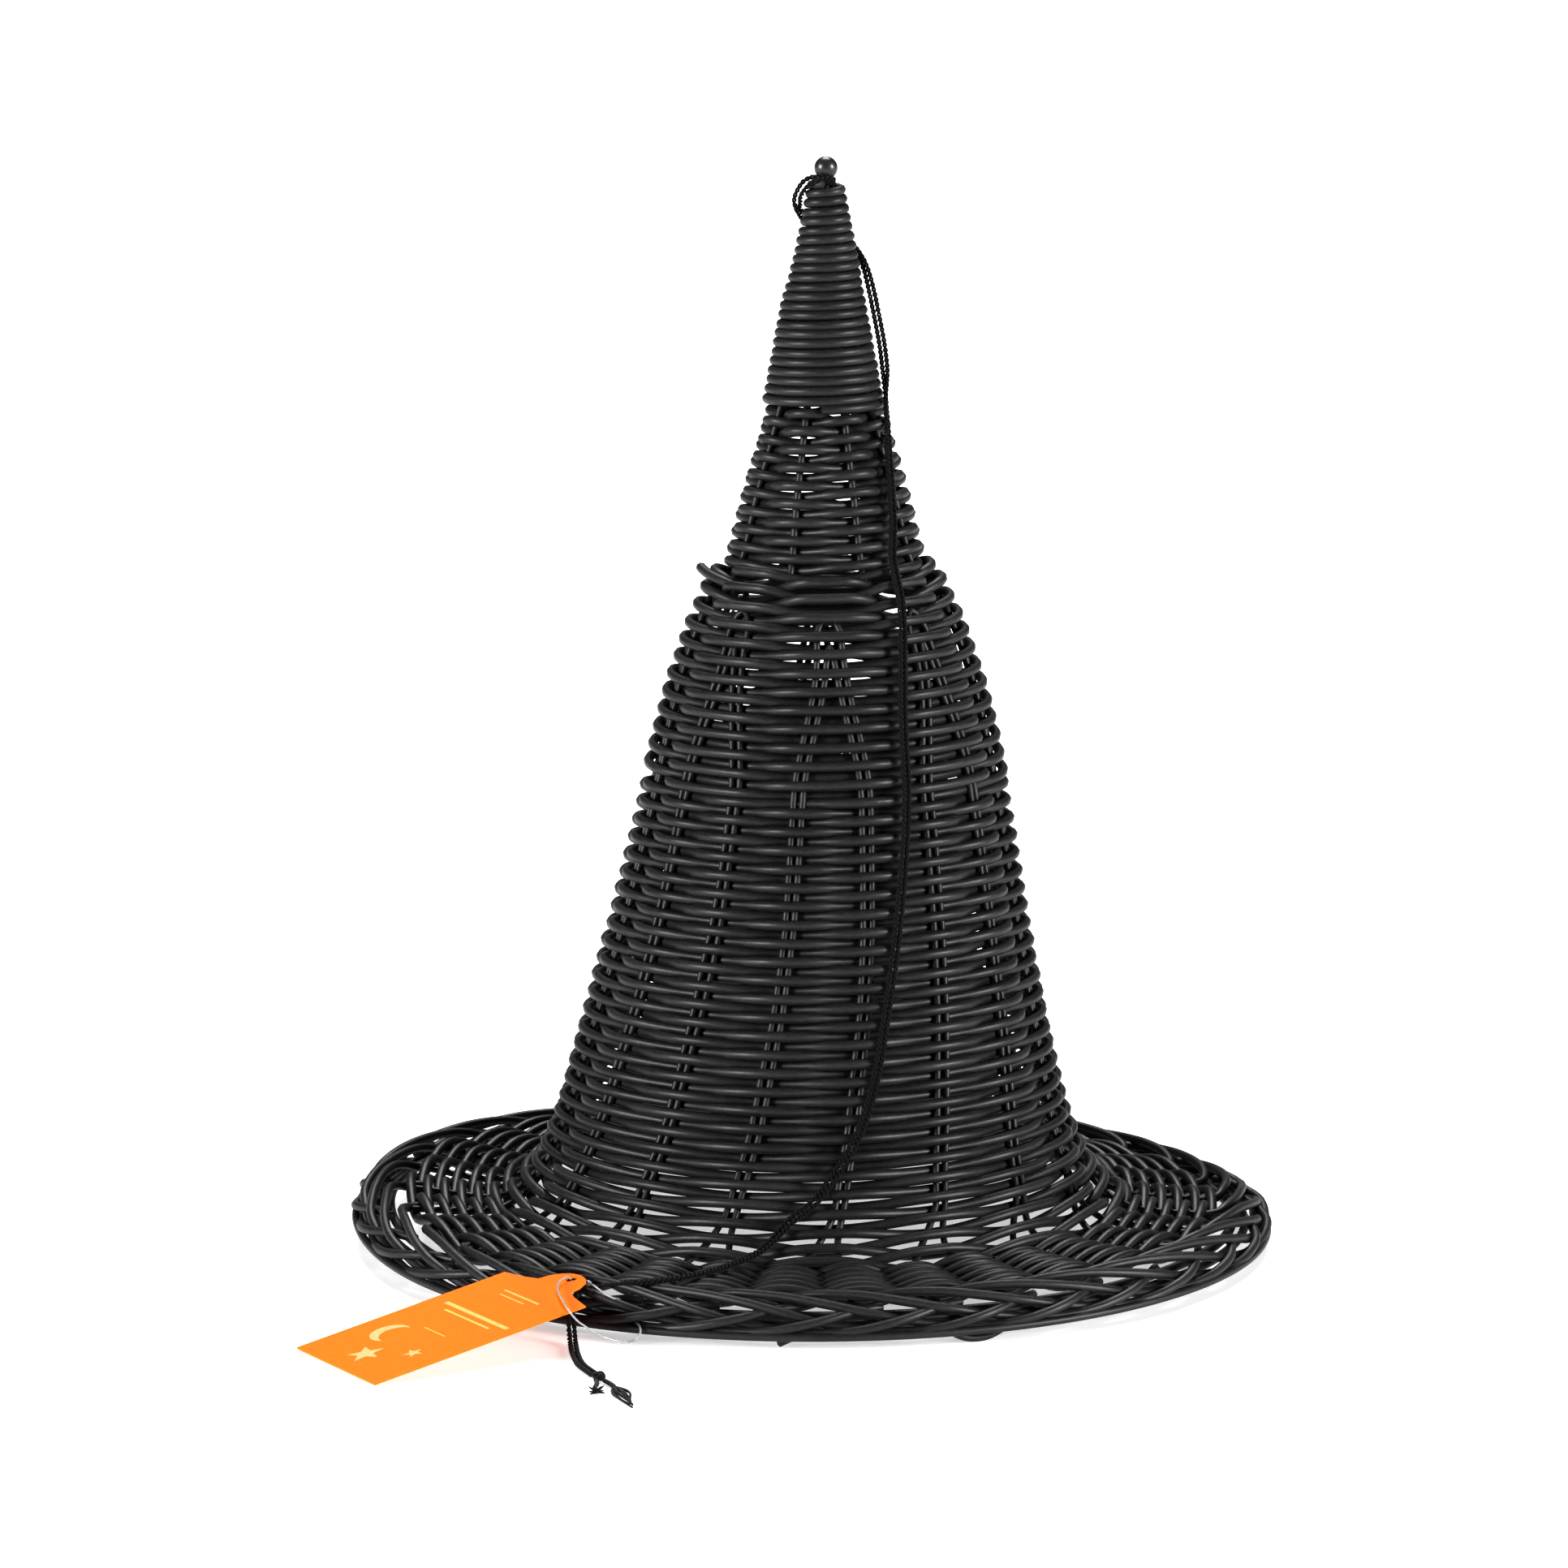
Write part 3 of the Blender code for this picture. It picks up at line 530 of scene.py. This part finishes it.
def make_hairpin(number, outer):
    """A stake bent in two over the shoulder, its legs running down to the brim's edge."""
    start = wall.at_height(OUTER_BEND if outer else INNER_BEND)
    fine_depth = 12 * MM
    near = np.linspace(0, fine_depth, 9)[1:]
    far = np.linspace(fine_depth, BRIM_END - start, 96)[1:]
    depth = np.concatenate([near, far])
    bend = np.sqrt(np.clip(depth / BEND_DEPTH, 0, 1))
    middle = BUNDLE_SPACING * number
    s = start + depth
    sides = []
    for side in (-1, 1):
        angle = leg_azimuth(s, side, outer) * bend + slow_noise(len(s), 16, 0.003)
        sides.append(place(middle + angle, s, 0))
    (left, left_out), (right, right_out) = sides
    crest, crest_out = place(middle, np.array([start]), 0)
    line = np.vstack([left[::-1], crest, right])
    outs = np.vstack([left_out[::-1], crest_out, right_out])
    name = f"{'outer' if outer else 'inner'}_hairpin_{number + 1}"
    mesh = tube_mesh(name, [(line, outs, HAIRPIN_RADIUS, False)])
    add_piece(f"{name}_cane", mesh, CANE, [name])


# ---- weavers ----
def flat_wave(phase, flat):
    """1 over the middle of every even stake group and -1 over every odd one, level across each group."""
    away = np.abs((phase + 0.5) % 1 - 0.5)
    rise = np.cos(math.pi / 2 * np.clip((away - flat) / (0.5 - flat), 0, 1))
    return rise * np.where(np.round(phase) % 2 == 0, 1, -1)


def bundle_flat(s):
    """How much of the bundles' spacing each bundle of four stakes fills, each way from its middle."""
    outer_edge = leg_azimuth(s, 1, True) + STAKE_RADIUS / wall.spot(s)[0]
    return np.clip(outer_edge / BUNDLE_SPACING, 0.05, 0.3)


def row_pitch(s):
    """From one row to the next along the wall: close on the cone and the brim, open on the flare."""
    places = [SHOULDER_TOP, wall.at_height(46 * MM), wall.at_height(37 * MM), wall.at_height(17 * MM),
              BRIM_START, wall.at_radius(117 * MM)]
    pitches = [ROW_PITCH, ROW_PITCH, 3.5 * MM, 3.85 * MM, 3.45 * MM, 3.02 * MM]
    return np.interp(s, places, pitches)


def in_and_out(azimuth, s, which):
    """How far outside the stakes a weaver passes, from -1 to 1, in the pattern of the band it is in."""
    half_mix = 1.5 * MM
    flats = (0.06, bundle_flat(s), 0.06, 0.03)
    waves = []
    for (groups, first), flat in zip((UPPER_BAND, BUNDLE_BAND, CROWN_BAND, BRIM_BAND), flats):
        waves.append(flat_wave((azimuth - first) * groups / TAU + which, flat))
    wave = waves[0]
    for edge, below in zip((SHOULDER_TOP, CROWN_TOP, BRIM_START), waves[1:]):
        mix = smooth_step(s, edge - half_mix, edge + half_mix)
        wave = wave * (1 - mix) + below * mix
    return wave


def weavers_way():
    """How many turns a weaver has made at each of its points, and how far along the wall it is there."""
    turns, places = [0], [BRIM_END - MM]
    steps_at = [wall.at_height(WRAP_BASE), SHOULDER_TOP, SHOULDER_TOP + MM, FLARE_TOP, BRIM_START]
    steps_per_turn = [88, 112, 144, 160, 288]
    while places[-1] > wall.at_height(WRAP_BASE) + MM:
        step = 1 / np.interp(places[-1], steps_at, steps_per_turn)
        turns.append(turns[-1] + step)
        places.append(places[-1] - 2 * float(row_pitch(places[-1])) * step)
    return np.array(turns), np.array(places)


def make_weave():
    """Two canes chase each other from the brim's edge up to the tip's wrapping, climbing to the right."""
    first_turn = 0.45  # where on the brim's edge the first of them starts
    turns, places = weavers_way()
    bands = (("upper_weaver", ["upper_weave_outer", "upper_weave_inner"], 0, SHOULDER_TOP),
             ("bundle_weaver", ["shoulder_weave", "bundle_weave_outer"], SHOULDER_TOP, CROWN_TOP),
             ("crown_weaver", ["crown_weave_outer", "crown_weave_inner"], CROWN_TOP, FLARE_TOP),
             ("flare_weaver", ["flare_weave_outer", "flare_weave_inner"], FLARE_TOP, BRIM_START),
             ("brim_weaver", ["brim_weave_top", "brim_weave_under"], BRIM_START, 1))
    for which, letter in enumerate("ab"):
        count = len(turns)
        azimuth = TAU * (turns - which / 2 + first_turn)
        s = places + slow_noise(count, 13, 0.12 * MM)
        from_shoulder = np.abs(s - wall.at_height(SHOULDER_HEIGHT))
        bulge = SHOULDER_BULGE * smooth_step(-from_shoulder, -BULGE_NONE, -BULGE_FULL)
        off = in_and_out(azimuth, places, which) * (HAIRPIN_RADIUS + WEAVER_RADIUS + bulge)
        off += slow_noise(count, 11, 0.13 * MM)
        radius = WEAVER_RADIUS * (1 + slow_noise(count, 40, 0.03))
        line, outs = place(azimuth, s, off)
        for name, nodes, top, bottom in bands:
            inside = np.flatnonzero((places >= top) & (places < bottom))
            cut = slice(max(inside[0] - 1, 0), inside[-1] + 2)
            canes = [(line[cut], outs[cut], radius[cut], False)]
            if name == "bundle_weaver" and letter == "a":
                canes.append(make_loose_end())
            mesh = tube_mesh(f"{name}_{letter}", canes)
            add_piece(f"{name}_{letter}", mesh, CANE, nodes)


def make_loose_end():
    """A weaver's cut end that stands out of the shoulder on the left."""
    count = 14
    azimuth = np.radians(np.linspace(-52, -92, count))
    s = np.linspace(wall.at_height(SHOULDER_HEIGHT + MM), wall.at_height(SHOULDER_HEIGHT), count)
    line, outs = place(azimuth, s, np.linspace(-1, 8.5, count) * MM)
    return line, outs, WEAVER_RADIUS, False


def make_tip_wrap():
    """One cane in close turns, rising to the right, a little wider and further left in its lower part."""
    turns, per_turn = 24, 40
    stand_off, wider, further_left = 2.75 * MM, 0.6 * MM, 0.9 * MM
    count = turns * per_turn
    height = np.linspace(WRAP_BASE - 0.2 * MM, WRAP_TOP - WEAVER_RADIUS * 0.8, count)
    s = np.array([wall.at_height(z) for z in height])
    azimuth = TAU * np.arange(count) / per_turn
    lower = smooth_step(-height, -WRAP_NARROW_FROM, -WRAP_WIDE_TO)
    line, outs = place(azimuth, s, stand_off + wider * lower + slow_noise(count, 55, 0.15 * MM))
    line[:, 0] -= further_left * lower
    line[:, 2] += slow_noise(count, 30, 0.13 * MM)
    mesh = tube_mesh("tip_wrap", [(line, outs, WRAP_RADIUS, False)], 10)
    add_piece("tip_wrap_cane", mesh, CANE, ["tip_wrap"])


# ---- border ----
def make_border():
    """Every brim stake's end, laid over its neighbours, down round the edge and back up under them."""
    way = smooth_line(np.array(BORDER_WAY), 5)
    spacing = TAU / BRIM_STAKES
    canes = []
    for number in range(BRIM_STAKES):
        start = FIRST_BRIM_STAKE + number * spacing
        azimuth = start + way[:, 0] * spacing + twist(BRIM_HEIGHT)
        azimuth = azimuth - FRONT_CROWDING * np.sin(azimuth)
        r = way[:, 1] * MM + slow_noise(len(way), 9, 0.25 * MM)
        z = way[:, 2] * MM + slow_noise(len(way), 9, 0.2 * MM)
        z = np.maximum(z, RIM_UNDERSIDE + BORDER_CANE_RADIUS)
        line = seat(np.stack([r * np.sin(azimuth), -r * np.cos(azimuth), z], -1))
        canes.append((line, None, BORDER_CANE_RADIUS, False))
    around = 180
    angle = TAU * np.arange(around) / around
    for radius, height, thickness in BORDER_RINGS:
        r = radius * MM + slow_noise(around, 9, 0.2 * MM) * np.sin(angle / 2) ** 2
        ring = seat(np.stack([r * np.sin(angle), -r * np.cos(angle), np.full(around, height * MM)], -1))
        canes.append((ring, None, thickness * MM, True))
    mesh = tube_mesh("border_canes", canes)
    add_piece("border_canes", mesh, CANE, ["border_fans", "border_plait", "rim_hoop"])


def make_rest_end(number, azimuth, radius, kind):
    """A trimmed end or short loop that shows under the rim."""
    angle = math.radians(azimuth)
    side = np.array([math.cos(angle), math.sin(angle), 0])
    out = np.array([math.sin(angle), -math.cos(angle), 0])
    centre = out * radius * MM
    if kind == "loop":
        half_length, rise = 10 * MM, 3.4 * MM
        t = np.linspace(-1, 1, 25)
        line = centre + side * (t * half_length)[:, None]
        line[:, 2] = STAKE_RADIUS + rise * np.abs(t) ** 2.2
    else:
        half_length, half_reach, half_rise = 2.6 * MM, 1.5 * MM, 1.6 * MM
        t = np.linspace(-1, 1, 9)
        line = centre + side * (t * half_length)[:, None] + out * (t * half_reach)[:, None]
        line[:, 2] = STAKE_RADIUS + half_rise * (t + 1)
    line[:, 2] += CURL * window(np.array([angle]), CURL_AZIMUTH, CURL_HALF_WIDTH)[0]
    name = f"rest_{kind}_{number}"
    mesh = tube_mesh(name, [(line, None, STAKE_RADIUS, False)])
    add_piece(f"{name}_cane", mesh, CANE, [name])


# ---- finial ----
def make_finial():
    """A turned bead with a bore through it, on a peg that shows in the bore."""
    centre, radius, bore = (BEAD_LOW + BEAD_HIGH) / 2, 4.1 * MM, 1.3 * MM
    mouth = math.asin(bore / radius)
    angles = np.linspace(mouth, math.pi - mouth, 22)
    profile = [(radius * math.sin(a), centre + radius * math.cos(a)) for a in angles]
    profile += [(bore, centre - radius * 0.8), (bore, centre + radius * 0.8)]
    mesh = bpy.data.meshes.new("finial_bead")
    around, rows = 40, len(profile)
    vertices = [(LEAN + r * math.cos(TAU * k / around), r * math.sin(TAU * k / around), z)
                for r, z in profile for k in range(around)]
    faces = []
    for i in range(rows):
        for k in range(around):
            j, m = (i + 1) % rows, (k + 1) % around
            faces.append((i * around + k, j * around + k, j * around + m, i * around + m))
    mesh.from_pydata(vertices, [], faces)
    mesh.shade_smooth()
    mesh.set_sharp_from_angle(angle=math.radians(50))
    add_piece("finial_bead_turned", mesh, BEAD, ["finial_bead"])
    peg_low, peg_high = (corner[2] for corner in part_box("finial_peg"))
    line = np.array([(LEAN, 0, z) for z in np.linspace(peg_low, peg_high, 8)])
    mesh = tube_mesh("finial_peg", [(line, None, PEG_RADIUS, False)])
    add_piece("finial_peg_cane", mesh, CANE, ["finial_peg"])


# ---- hanging cord ----
def cord_middle():
    """The line between the cord's two strands, the way out of the surface under it, and the pair's turn."""
    points, outs, rolls = [], [], []
    for azimuth, height, stand_off, roll in CORD_ON_CONE:
        r, z, nr, nz = wall.spot(wall.at_height(height * MM), CORD_STAND_OFF + stand_off * MM)
        angle = math.radians(azimuth)
        points.append(seat([(r * math.sin(angle), -r * math.cos(angle), z)], False)[0])
        outs.append((nr * math.sin(angle), -nr * math.cos(angle), nz))
        rolls.append(math.radians(roll))
    for point in CORD_ON_BRIM_MM:
        points.append(np.array(point) * MM)
        outs.append((0, 0, 1))
        rolls.append(0)
    return np.array(points), np.array(outs), np.array(rolls)


def cord_route(number):
    """One strand's points: from the hitch on its own, then beside the other strand."""
    points, outs, rolls = cord_middle()
    side = (-1, 1)[number] * CORD_APART / 2
    last = len(points) - 1
    ways = np.array([points[min(k + 1, last)] - points[max(k - 1, 0)] for k in range(last + 1)])
    across = unit(np.cross(ways, outs))
    together = points + (across * np.cos(rolls)[:, None] + outs * np.sin(rolls)[:, None]) * side
    return np.vstack([np.array(CORD_STARTS_MM[number]) * MM, together])


def tag_joint():
    """The joint that the tag lifts on."""
    return next(j for j in frame["record"]["behaviour"]["joints"] if j["name"] == "tag_lift")


def twisted(line):
    """The plies of a twisted cord round a line, and the line's own evenly spaced points."""
    along = distance_along(line)
    count = int(along[-1] / (PLY_TURN / 10))
    even = np.linspace(0, along[-1], count)
    centre = np.stack([np.interp(even, along, line[:, k]) for k in range(3)], -1)
    across = carried(centre)
    up = np.cross(across, unit(np.gradient(centre, axis=0)))
    hole = Vector(tag_joint()["pos_m"])
    from_hole = np.linalg.norm(centre - np.array(hole), axis=1)
    near_tag = 1 - smooth_step(from_hole, TAG_NEAR, TAG_FAR)
    ply_radius = CORD_RADIUS * 0.6
    fullness = CORD_FULLNESS + (FULLNESS_AT_TAG - CORD_FULLNESS) * near_tag
    ply_offset = (CORD_RADIUS * fullness - ply_radius)[:, None]
    canes = []
    for k in range(PLIES):
        angle = TAU * (even / PLY_TURN + k / PLIES)
        ply = centre + (across * np.cos(angle)[:, None] + up * np.sin(angle)[:, None]) * ply_offset
        canes.append((ply, None, ply_radius * (1 + slow_noise(count, 6, 0.05)), False))
    return canes, centre


def make_cord():
    """Both strands with their hitch, knot and frayed ends."""
    for number in (1, 2):
        route = cord_route(number - 1)
        canes, centre = twisted(smooth_line(route, 8))
        mesh = tube_mesh(f"cord_{number}", canes, CORD_SIDES)
        nodes = [f"cord_strand_{number}"]
        cord = add_piece(f"cord_{number}_twisted", mesh, CORD, nodes)
    hitch = make_hitch()
    knot = make_knot()
    ends = [make_frayed_end(number) for number in (1, 2)]


def make_hitch():
    """Two turns of cord round the peg under the bead, with the strands leading off it."""
    low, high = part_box("cord_hitch")
    radius = (high[0] - low[0]) / 2 - CORD_RADIUS
    middle = (low[2] + high[2]) / 2
    t = np.linspace(0, 2.1, 90)
    height = middle + (t - 1) * 0.9 * MM
    turns = np.stack([LEAN + radius * np.cos(TAU * t), radius * np.sin(TAU * t), height], -1)
    canes = twisted(turns)[0]
    for start in CORD_STARTS_MM:
        there = np.array(start[0]) * MM
        leaves = (LEAN, -radius, middle + 0.6 * MM)
        between = (LEAN * 0.5 + there[0] * 0.5, -radius, middle + 1 * MM)
        canes += twisted(smooth_line([leaves, between, there], 8))[0]
    mesh = tube_mesh("cord_hitch", canes, CORD_SIDES)
    return add_piece("cord_hitch_turns", mesh, CORD, ["cord_hitch"])


def make_knot():
    """An overhand knot: a trefoil of cord pulled tight."""
    low, high = (np.array(corner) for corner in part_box("cord_knot"))
    centre, half = (low + high) / 2, (high - low) / 2 - CORD_RADIUS * 0.8
    t = np.linspace(0, TAU, 90, endpoint=False)
    trefoil = [(np.sin(t) + 2 * np.sin(2 * t)) / 3, (np.cos(t) - 2 * np.cos(2 * t)) / 3, -np.sin(3 * t)]
    line = centre + np.stack(trefoil, -1) * half * (1.1, 1.15, 0.7)
    mesh = tube_mesh("cord_knot", [(line, None, CORD_RADIUS * 1.2, True)])
    return add_piece("cord_knot_tied", mesh, CORD, ["cord_knot"])


def star_fibre(k, t, way, across):
    """One fibre of a star, from its middle: its way out, its thickness, and how far its end stands up."""
    angle = math.radians(-112 + 28 * k)
    length = 3 * MM * rng.uniform(0.75, 1.1)
    out = (way * math.cos(angle) + across * math.sin(angle)) * (t * length)[:, None]
    return out, np.linspace(0.6, 0.15, len(t)) * MM, 2.4 * MM * (k % 2)


def net_fibre(k, t, way, across, reach):
    """One fibre of a loose net that closes again at its end, described as in star_fibre."""
    wide = 2.4 * MM * (k / 2.5 - 1) * np.sin(math.pi * t) ** 0.8
    cross = rng.normal(0, 0.45 * MM) * np.sin(2 * math.pi * t)
    length = reach * rng.uniform(0.86, 1)
    out = way * (t * length)[:, None] + across * (wide + cross)[:, None]
    return out, (0.62 - 0.36 * t) * MM * rng.uniform(0.7, 1.1), 0


def make_frayed_end(number):
    """A cord end that opens out: the short one into a star of fibres, the long one into a loose net."""
    line = smooth_line(np.array(FRAYED_ENDS_MM[number - 1]) * MM, 6)
    opens_at, fibres = ((0.86, 9), (0.34, 6))[number - 1]
    body = line[:int(len(line) * opens_at) + 1]
    canes = [(body, None, np.linspace(1, 1.15, len(body)) * CORD_RADIUS, False)]
    start, reach = body[-1], np.linalg.norm(line[-1] - body[-1])
    way = unit(line[-1] - start)
    across = np.array([-way[1], way[0], 0])
    t = np.linspace(0, 1, 13)
    for k in range(fibres):
        if number == 1:
            out, radii, rise = star_fibre(k, t, way, across)
        else:
            out, radii, rise = net_fibre(k, t, way, across, reach)
        fibre = start + out
        fibre[:, 2] = np.maximum(start[2] + (rise + rng.normal(0, 0.4 * MM)) * t, 0.5 * MM)
        canes.append((fibre, None, radii, False))
    mesh = tube_mesh(f"frayed_end_{number}", canes, CORD_SIDES)
    return add_piece(f"frayed_end_{number}_fibres", mesh, CORD, [f"frayed_end_{number}"])


# ---- swing tag ----
# Plain printed rules: middle across and along from the hole, half length and half width, all in mm
PRINTED_RULES_MM = (
    (0, -19.6, 11.5, 0.45), (-1.5, -22.6, 8, 0.3), (1.5, -38.2, 21, 0.9), (1.5, -42, 15, 0.5),
    (2.4, -55, 7, 0.25),
)
TOWARDS_TAB = Vector((0.8318, 0.5226, 0.1869))  # the way from the card's far edge to its tab
PRINT_HEIGHT = 0.29 * MM  # the print's middle above the card's middle
LOCK_HEAD = slice(-26, -17)  # the part of the filament that its small lock head covers, by point
LOCK_HEAD_BULGE = 0.7 * MM


def card_axes():
    """The tag's hole centre and its ways across, along towards the tab, and out of its printed face."""
    joint = tag_joint()
    across = -Vector(joint["axis"])
    up = across.cross(TOWARDS_TAB).normalized()
    return Vector(joint["pos_m"]), across, up.cross(across), up


def flat_print(name, outline, material):
    """A printed shape just above the card's face, from points across and along in mm from the hole."""
    hole, across, along, up = card_axes()
    curve = bpy.data.curves.new(name, "CURVE")
    curve.dimensions = "2D"
    curve.fill_mode = "BOTH"
    curve.extrude = 0.02 * MM
    spline = curve.splines.new("POLY")
    spline.points.add(len(outline) - 1)
    for corner, (x, y) in zip(spline.points, outline):
        corner.co = (x * MM, y * MM, 0, 1)
    spline.use_cyclic_u = True
    shape = bpy.data.objects.new(name, curve)
    bpy.context.scene.collection.objects.link(shape)
    mesh = bpy.data.meshes.new_from_object(shape.evaluated_get(bpy.context.evaluated_depsgraph_get()))
    bpy.data.objects.remove(shape)
    turn = Matrix((across, along, up)).transposed().to_4x4()
    mesh.transform(Matrix.Translation(hole + up * PRINT_HEIGHT) @ turn)
    add_piece(name, mesh, material, body="tag")


def star(x, y, radius, turn):
    """The outline of a five-pointed star."""
    points, inner = 5, 0.42
    outline = []
    for k in range(2 * points):
        angle = math.radians(turn) + math.pi * k / points
        reach = radius if k % 2 == 0 else radius * inner
        outline.append((x + reach * math.cos(angle), y + reach * math.sin(angle)))
    return outline


def crescent(x, y, radius, turn):
    """The outline of a crescent: most of a circle, and the arc of a smaller one that cuts it."""
    cut_middle, cut_radius = 0.483, 0.883
    outer = [(math.cos(a), math.sin(a)) for a in np.radians(np.linspace(62, 298, 24))]
    inner = [(cut_middle + cut_radius * math.cos(a), cut_radius * math.sin(a))
             for a in np.radians(np.linspace(269, 91, 20))]
    c, s = math.cos(math.radians(turn)), math.sin(math.radians(turn))
    return [(x + radius * (u * c - v * s), y + radius * (u * s + v * c)) for u, v in outer + inner]


def make_tag():
    """The card's material and prints, and the filament it hangs on."""
    card = frame["nodes"]["tag_card"]
    card.data.materials.clear()
    card.data.materials.append(CARD)
    flat_print("print_crescent", crescent(-10.6, -65, 7.1, 13), FOIL)
    flat_print("print_star", star(-0.6, -80, 6.6, 80), FOIL)
    flat_print("print_small_star", star(13.5, -69.5, 3.6, 30), FOIL)
    for number, (x, y, half, thick) in enumerate(PRINTED_RULES_MM):
        left, right, low_edge, high_edge = x - half, x + half, y - thick, y + thick
        outline = [(left, low_edge), (right, low_edge), (right, high_edge), (left, high_edge)]
        flat_print(f"print_rule_{number + 1}", outline, PALE)
    line = smooth_line(np.array(LOOP_ROUTE_MM) * MM, 8, closed=True)[:-3]
    head = line[LOCK_HEAD]
    head_round = np.sqrt(np.clip(1 - np.linspace(-1, 1, len(head)) ** 2, 0, 1))
    head_radii = FILAMENT_RADIUS + LOCK_HEAD_BULGE * head_round
    mesh = tube_mesh("tag_loop", [(line, None, FILAMENT_RADIUS, False), (head, None, head_radii, False)])
    filament = add_piece("tag_loop_filament", mesh, CLEAR, ["tag_loop"])


# ---- stage ----
WORLD_STRENGTH = 0.03
GAMMA = 0.75  # below 1, it deepens the gaps between the canes
# Each sun: azimuth round the hat from the front, angle above the floor and width, in degrees, and strength
SUNS = {
    "left_softbox": (-60, 14, 22, 6.1),
    "right_softbox": (66, 14, 22, 6.1),
    "top_softbox": (180, 60, 36, 4.4),
}
CAMERA_PLACE, CAMERA_DOWN = (0, -2.25, 0.5565), math.radians(9.88665)
CAMERA_LENS, CAMERA_SENSOR, CAMERA_SHIFT = 147.65, 36, -0.0176


def add_sun(name, azimuth, elevation, spread, strength):
    """A very large soft light, far off."""
    light = bpy.data.lights.new(name, "SUN")
    light.energy = strength
    light.angle = math.radians(spread)
    lamp = bpy.data.objects.new(name, light)
    turn, rise = math.radians(azimuth), math.radians(elevation)
    way = Vector((math.sin(turn) * math.cos(rise), -math.cos(turn) * math.cos(rise), math.sin(rise)))
    lamp.rotation_euler = way.to_track_quat("Z", "Y").to_euler()
    lamp.location = way * 3
    bpy.context.scene.collection.objects.link(lamp)


def make_stage():
    """A pale floor, a dim white world and three soft lights."""
    bpy.ops.mesh.primitive_plane_add(size=80)
    floor = bpy.context.object
    floor.name = "floor"
    floor.data.materials.append(floor_material())
    world = bpy.data.worlds.new("studio")
    world.use_nodes = True
    set_inputs(world.node_tree.nodes["Background"], {"Color": (1, 1, 1, 1), "Strength": WORLD_STRENGTH})
    bpy.context.scene.world = world
    bpy.context.scene.view_settings.view_transform = "Standard"
    bpy.context.scene.view_settings.gamma = GAMMA
    for name, (azimuth, elevation, spread, strength) in SUNS.items():
        add_sun(name, azimuth, elevation, spread, strength)


def make_camera():
    """A long lens in front of the hat, looking a little down on it."""
    data = bpy.data.cameras.new("camera")
    data.lens = CAMERA_LENS
    data.sensor_width = CAMERA_SENSOR
    data.shift_x = CAMERA_SHIFT
    camera = bpy.data.objects.new("camera", data)
    camera.location = CAMERA_PLACE
    camera.rotation_euler = (math.pi / 2 - CAMERA_DOWN, 0, 0)
    bpy.context.scene.collection.objects.link(camera)
    bpy.context.scene.camera = camera


make_camera()
make_stage()
make_cord()
for bundle in range(8):
    make_main_stake(bundle)
    make_hairpin(bundle, True)
    make_hairpin(bundle, False)
make_weave()
make_tip_wrap()
make_border()
for end_number, (end_azimuth, end_radius, end_kind) in enumerate(REST_ENDS):
    make_rest_end(end_number + 1, end_azimuth, end_radius, end_kind)
make_finial()
make_tag()
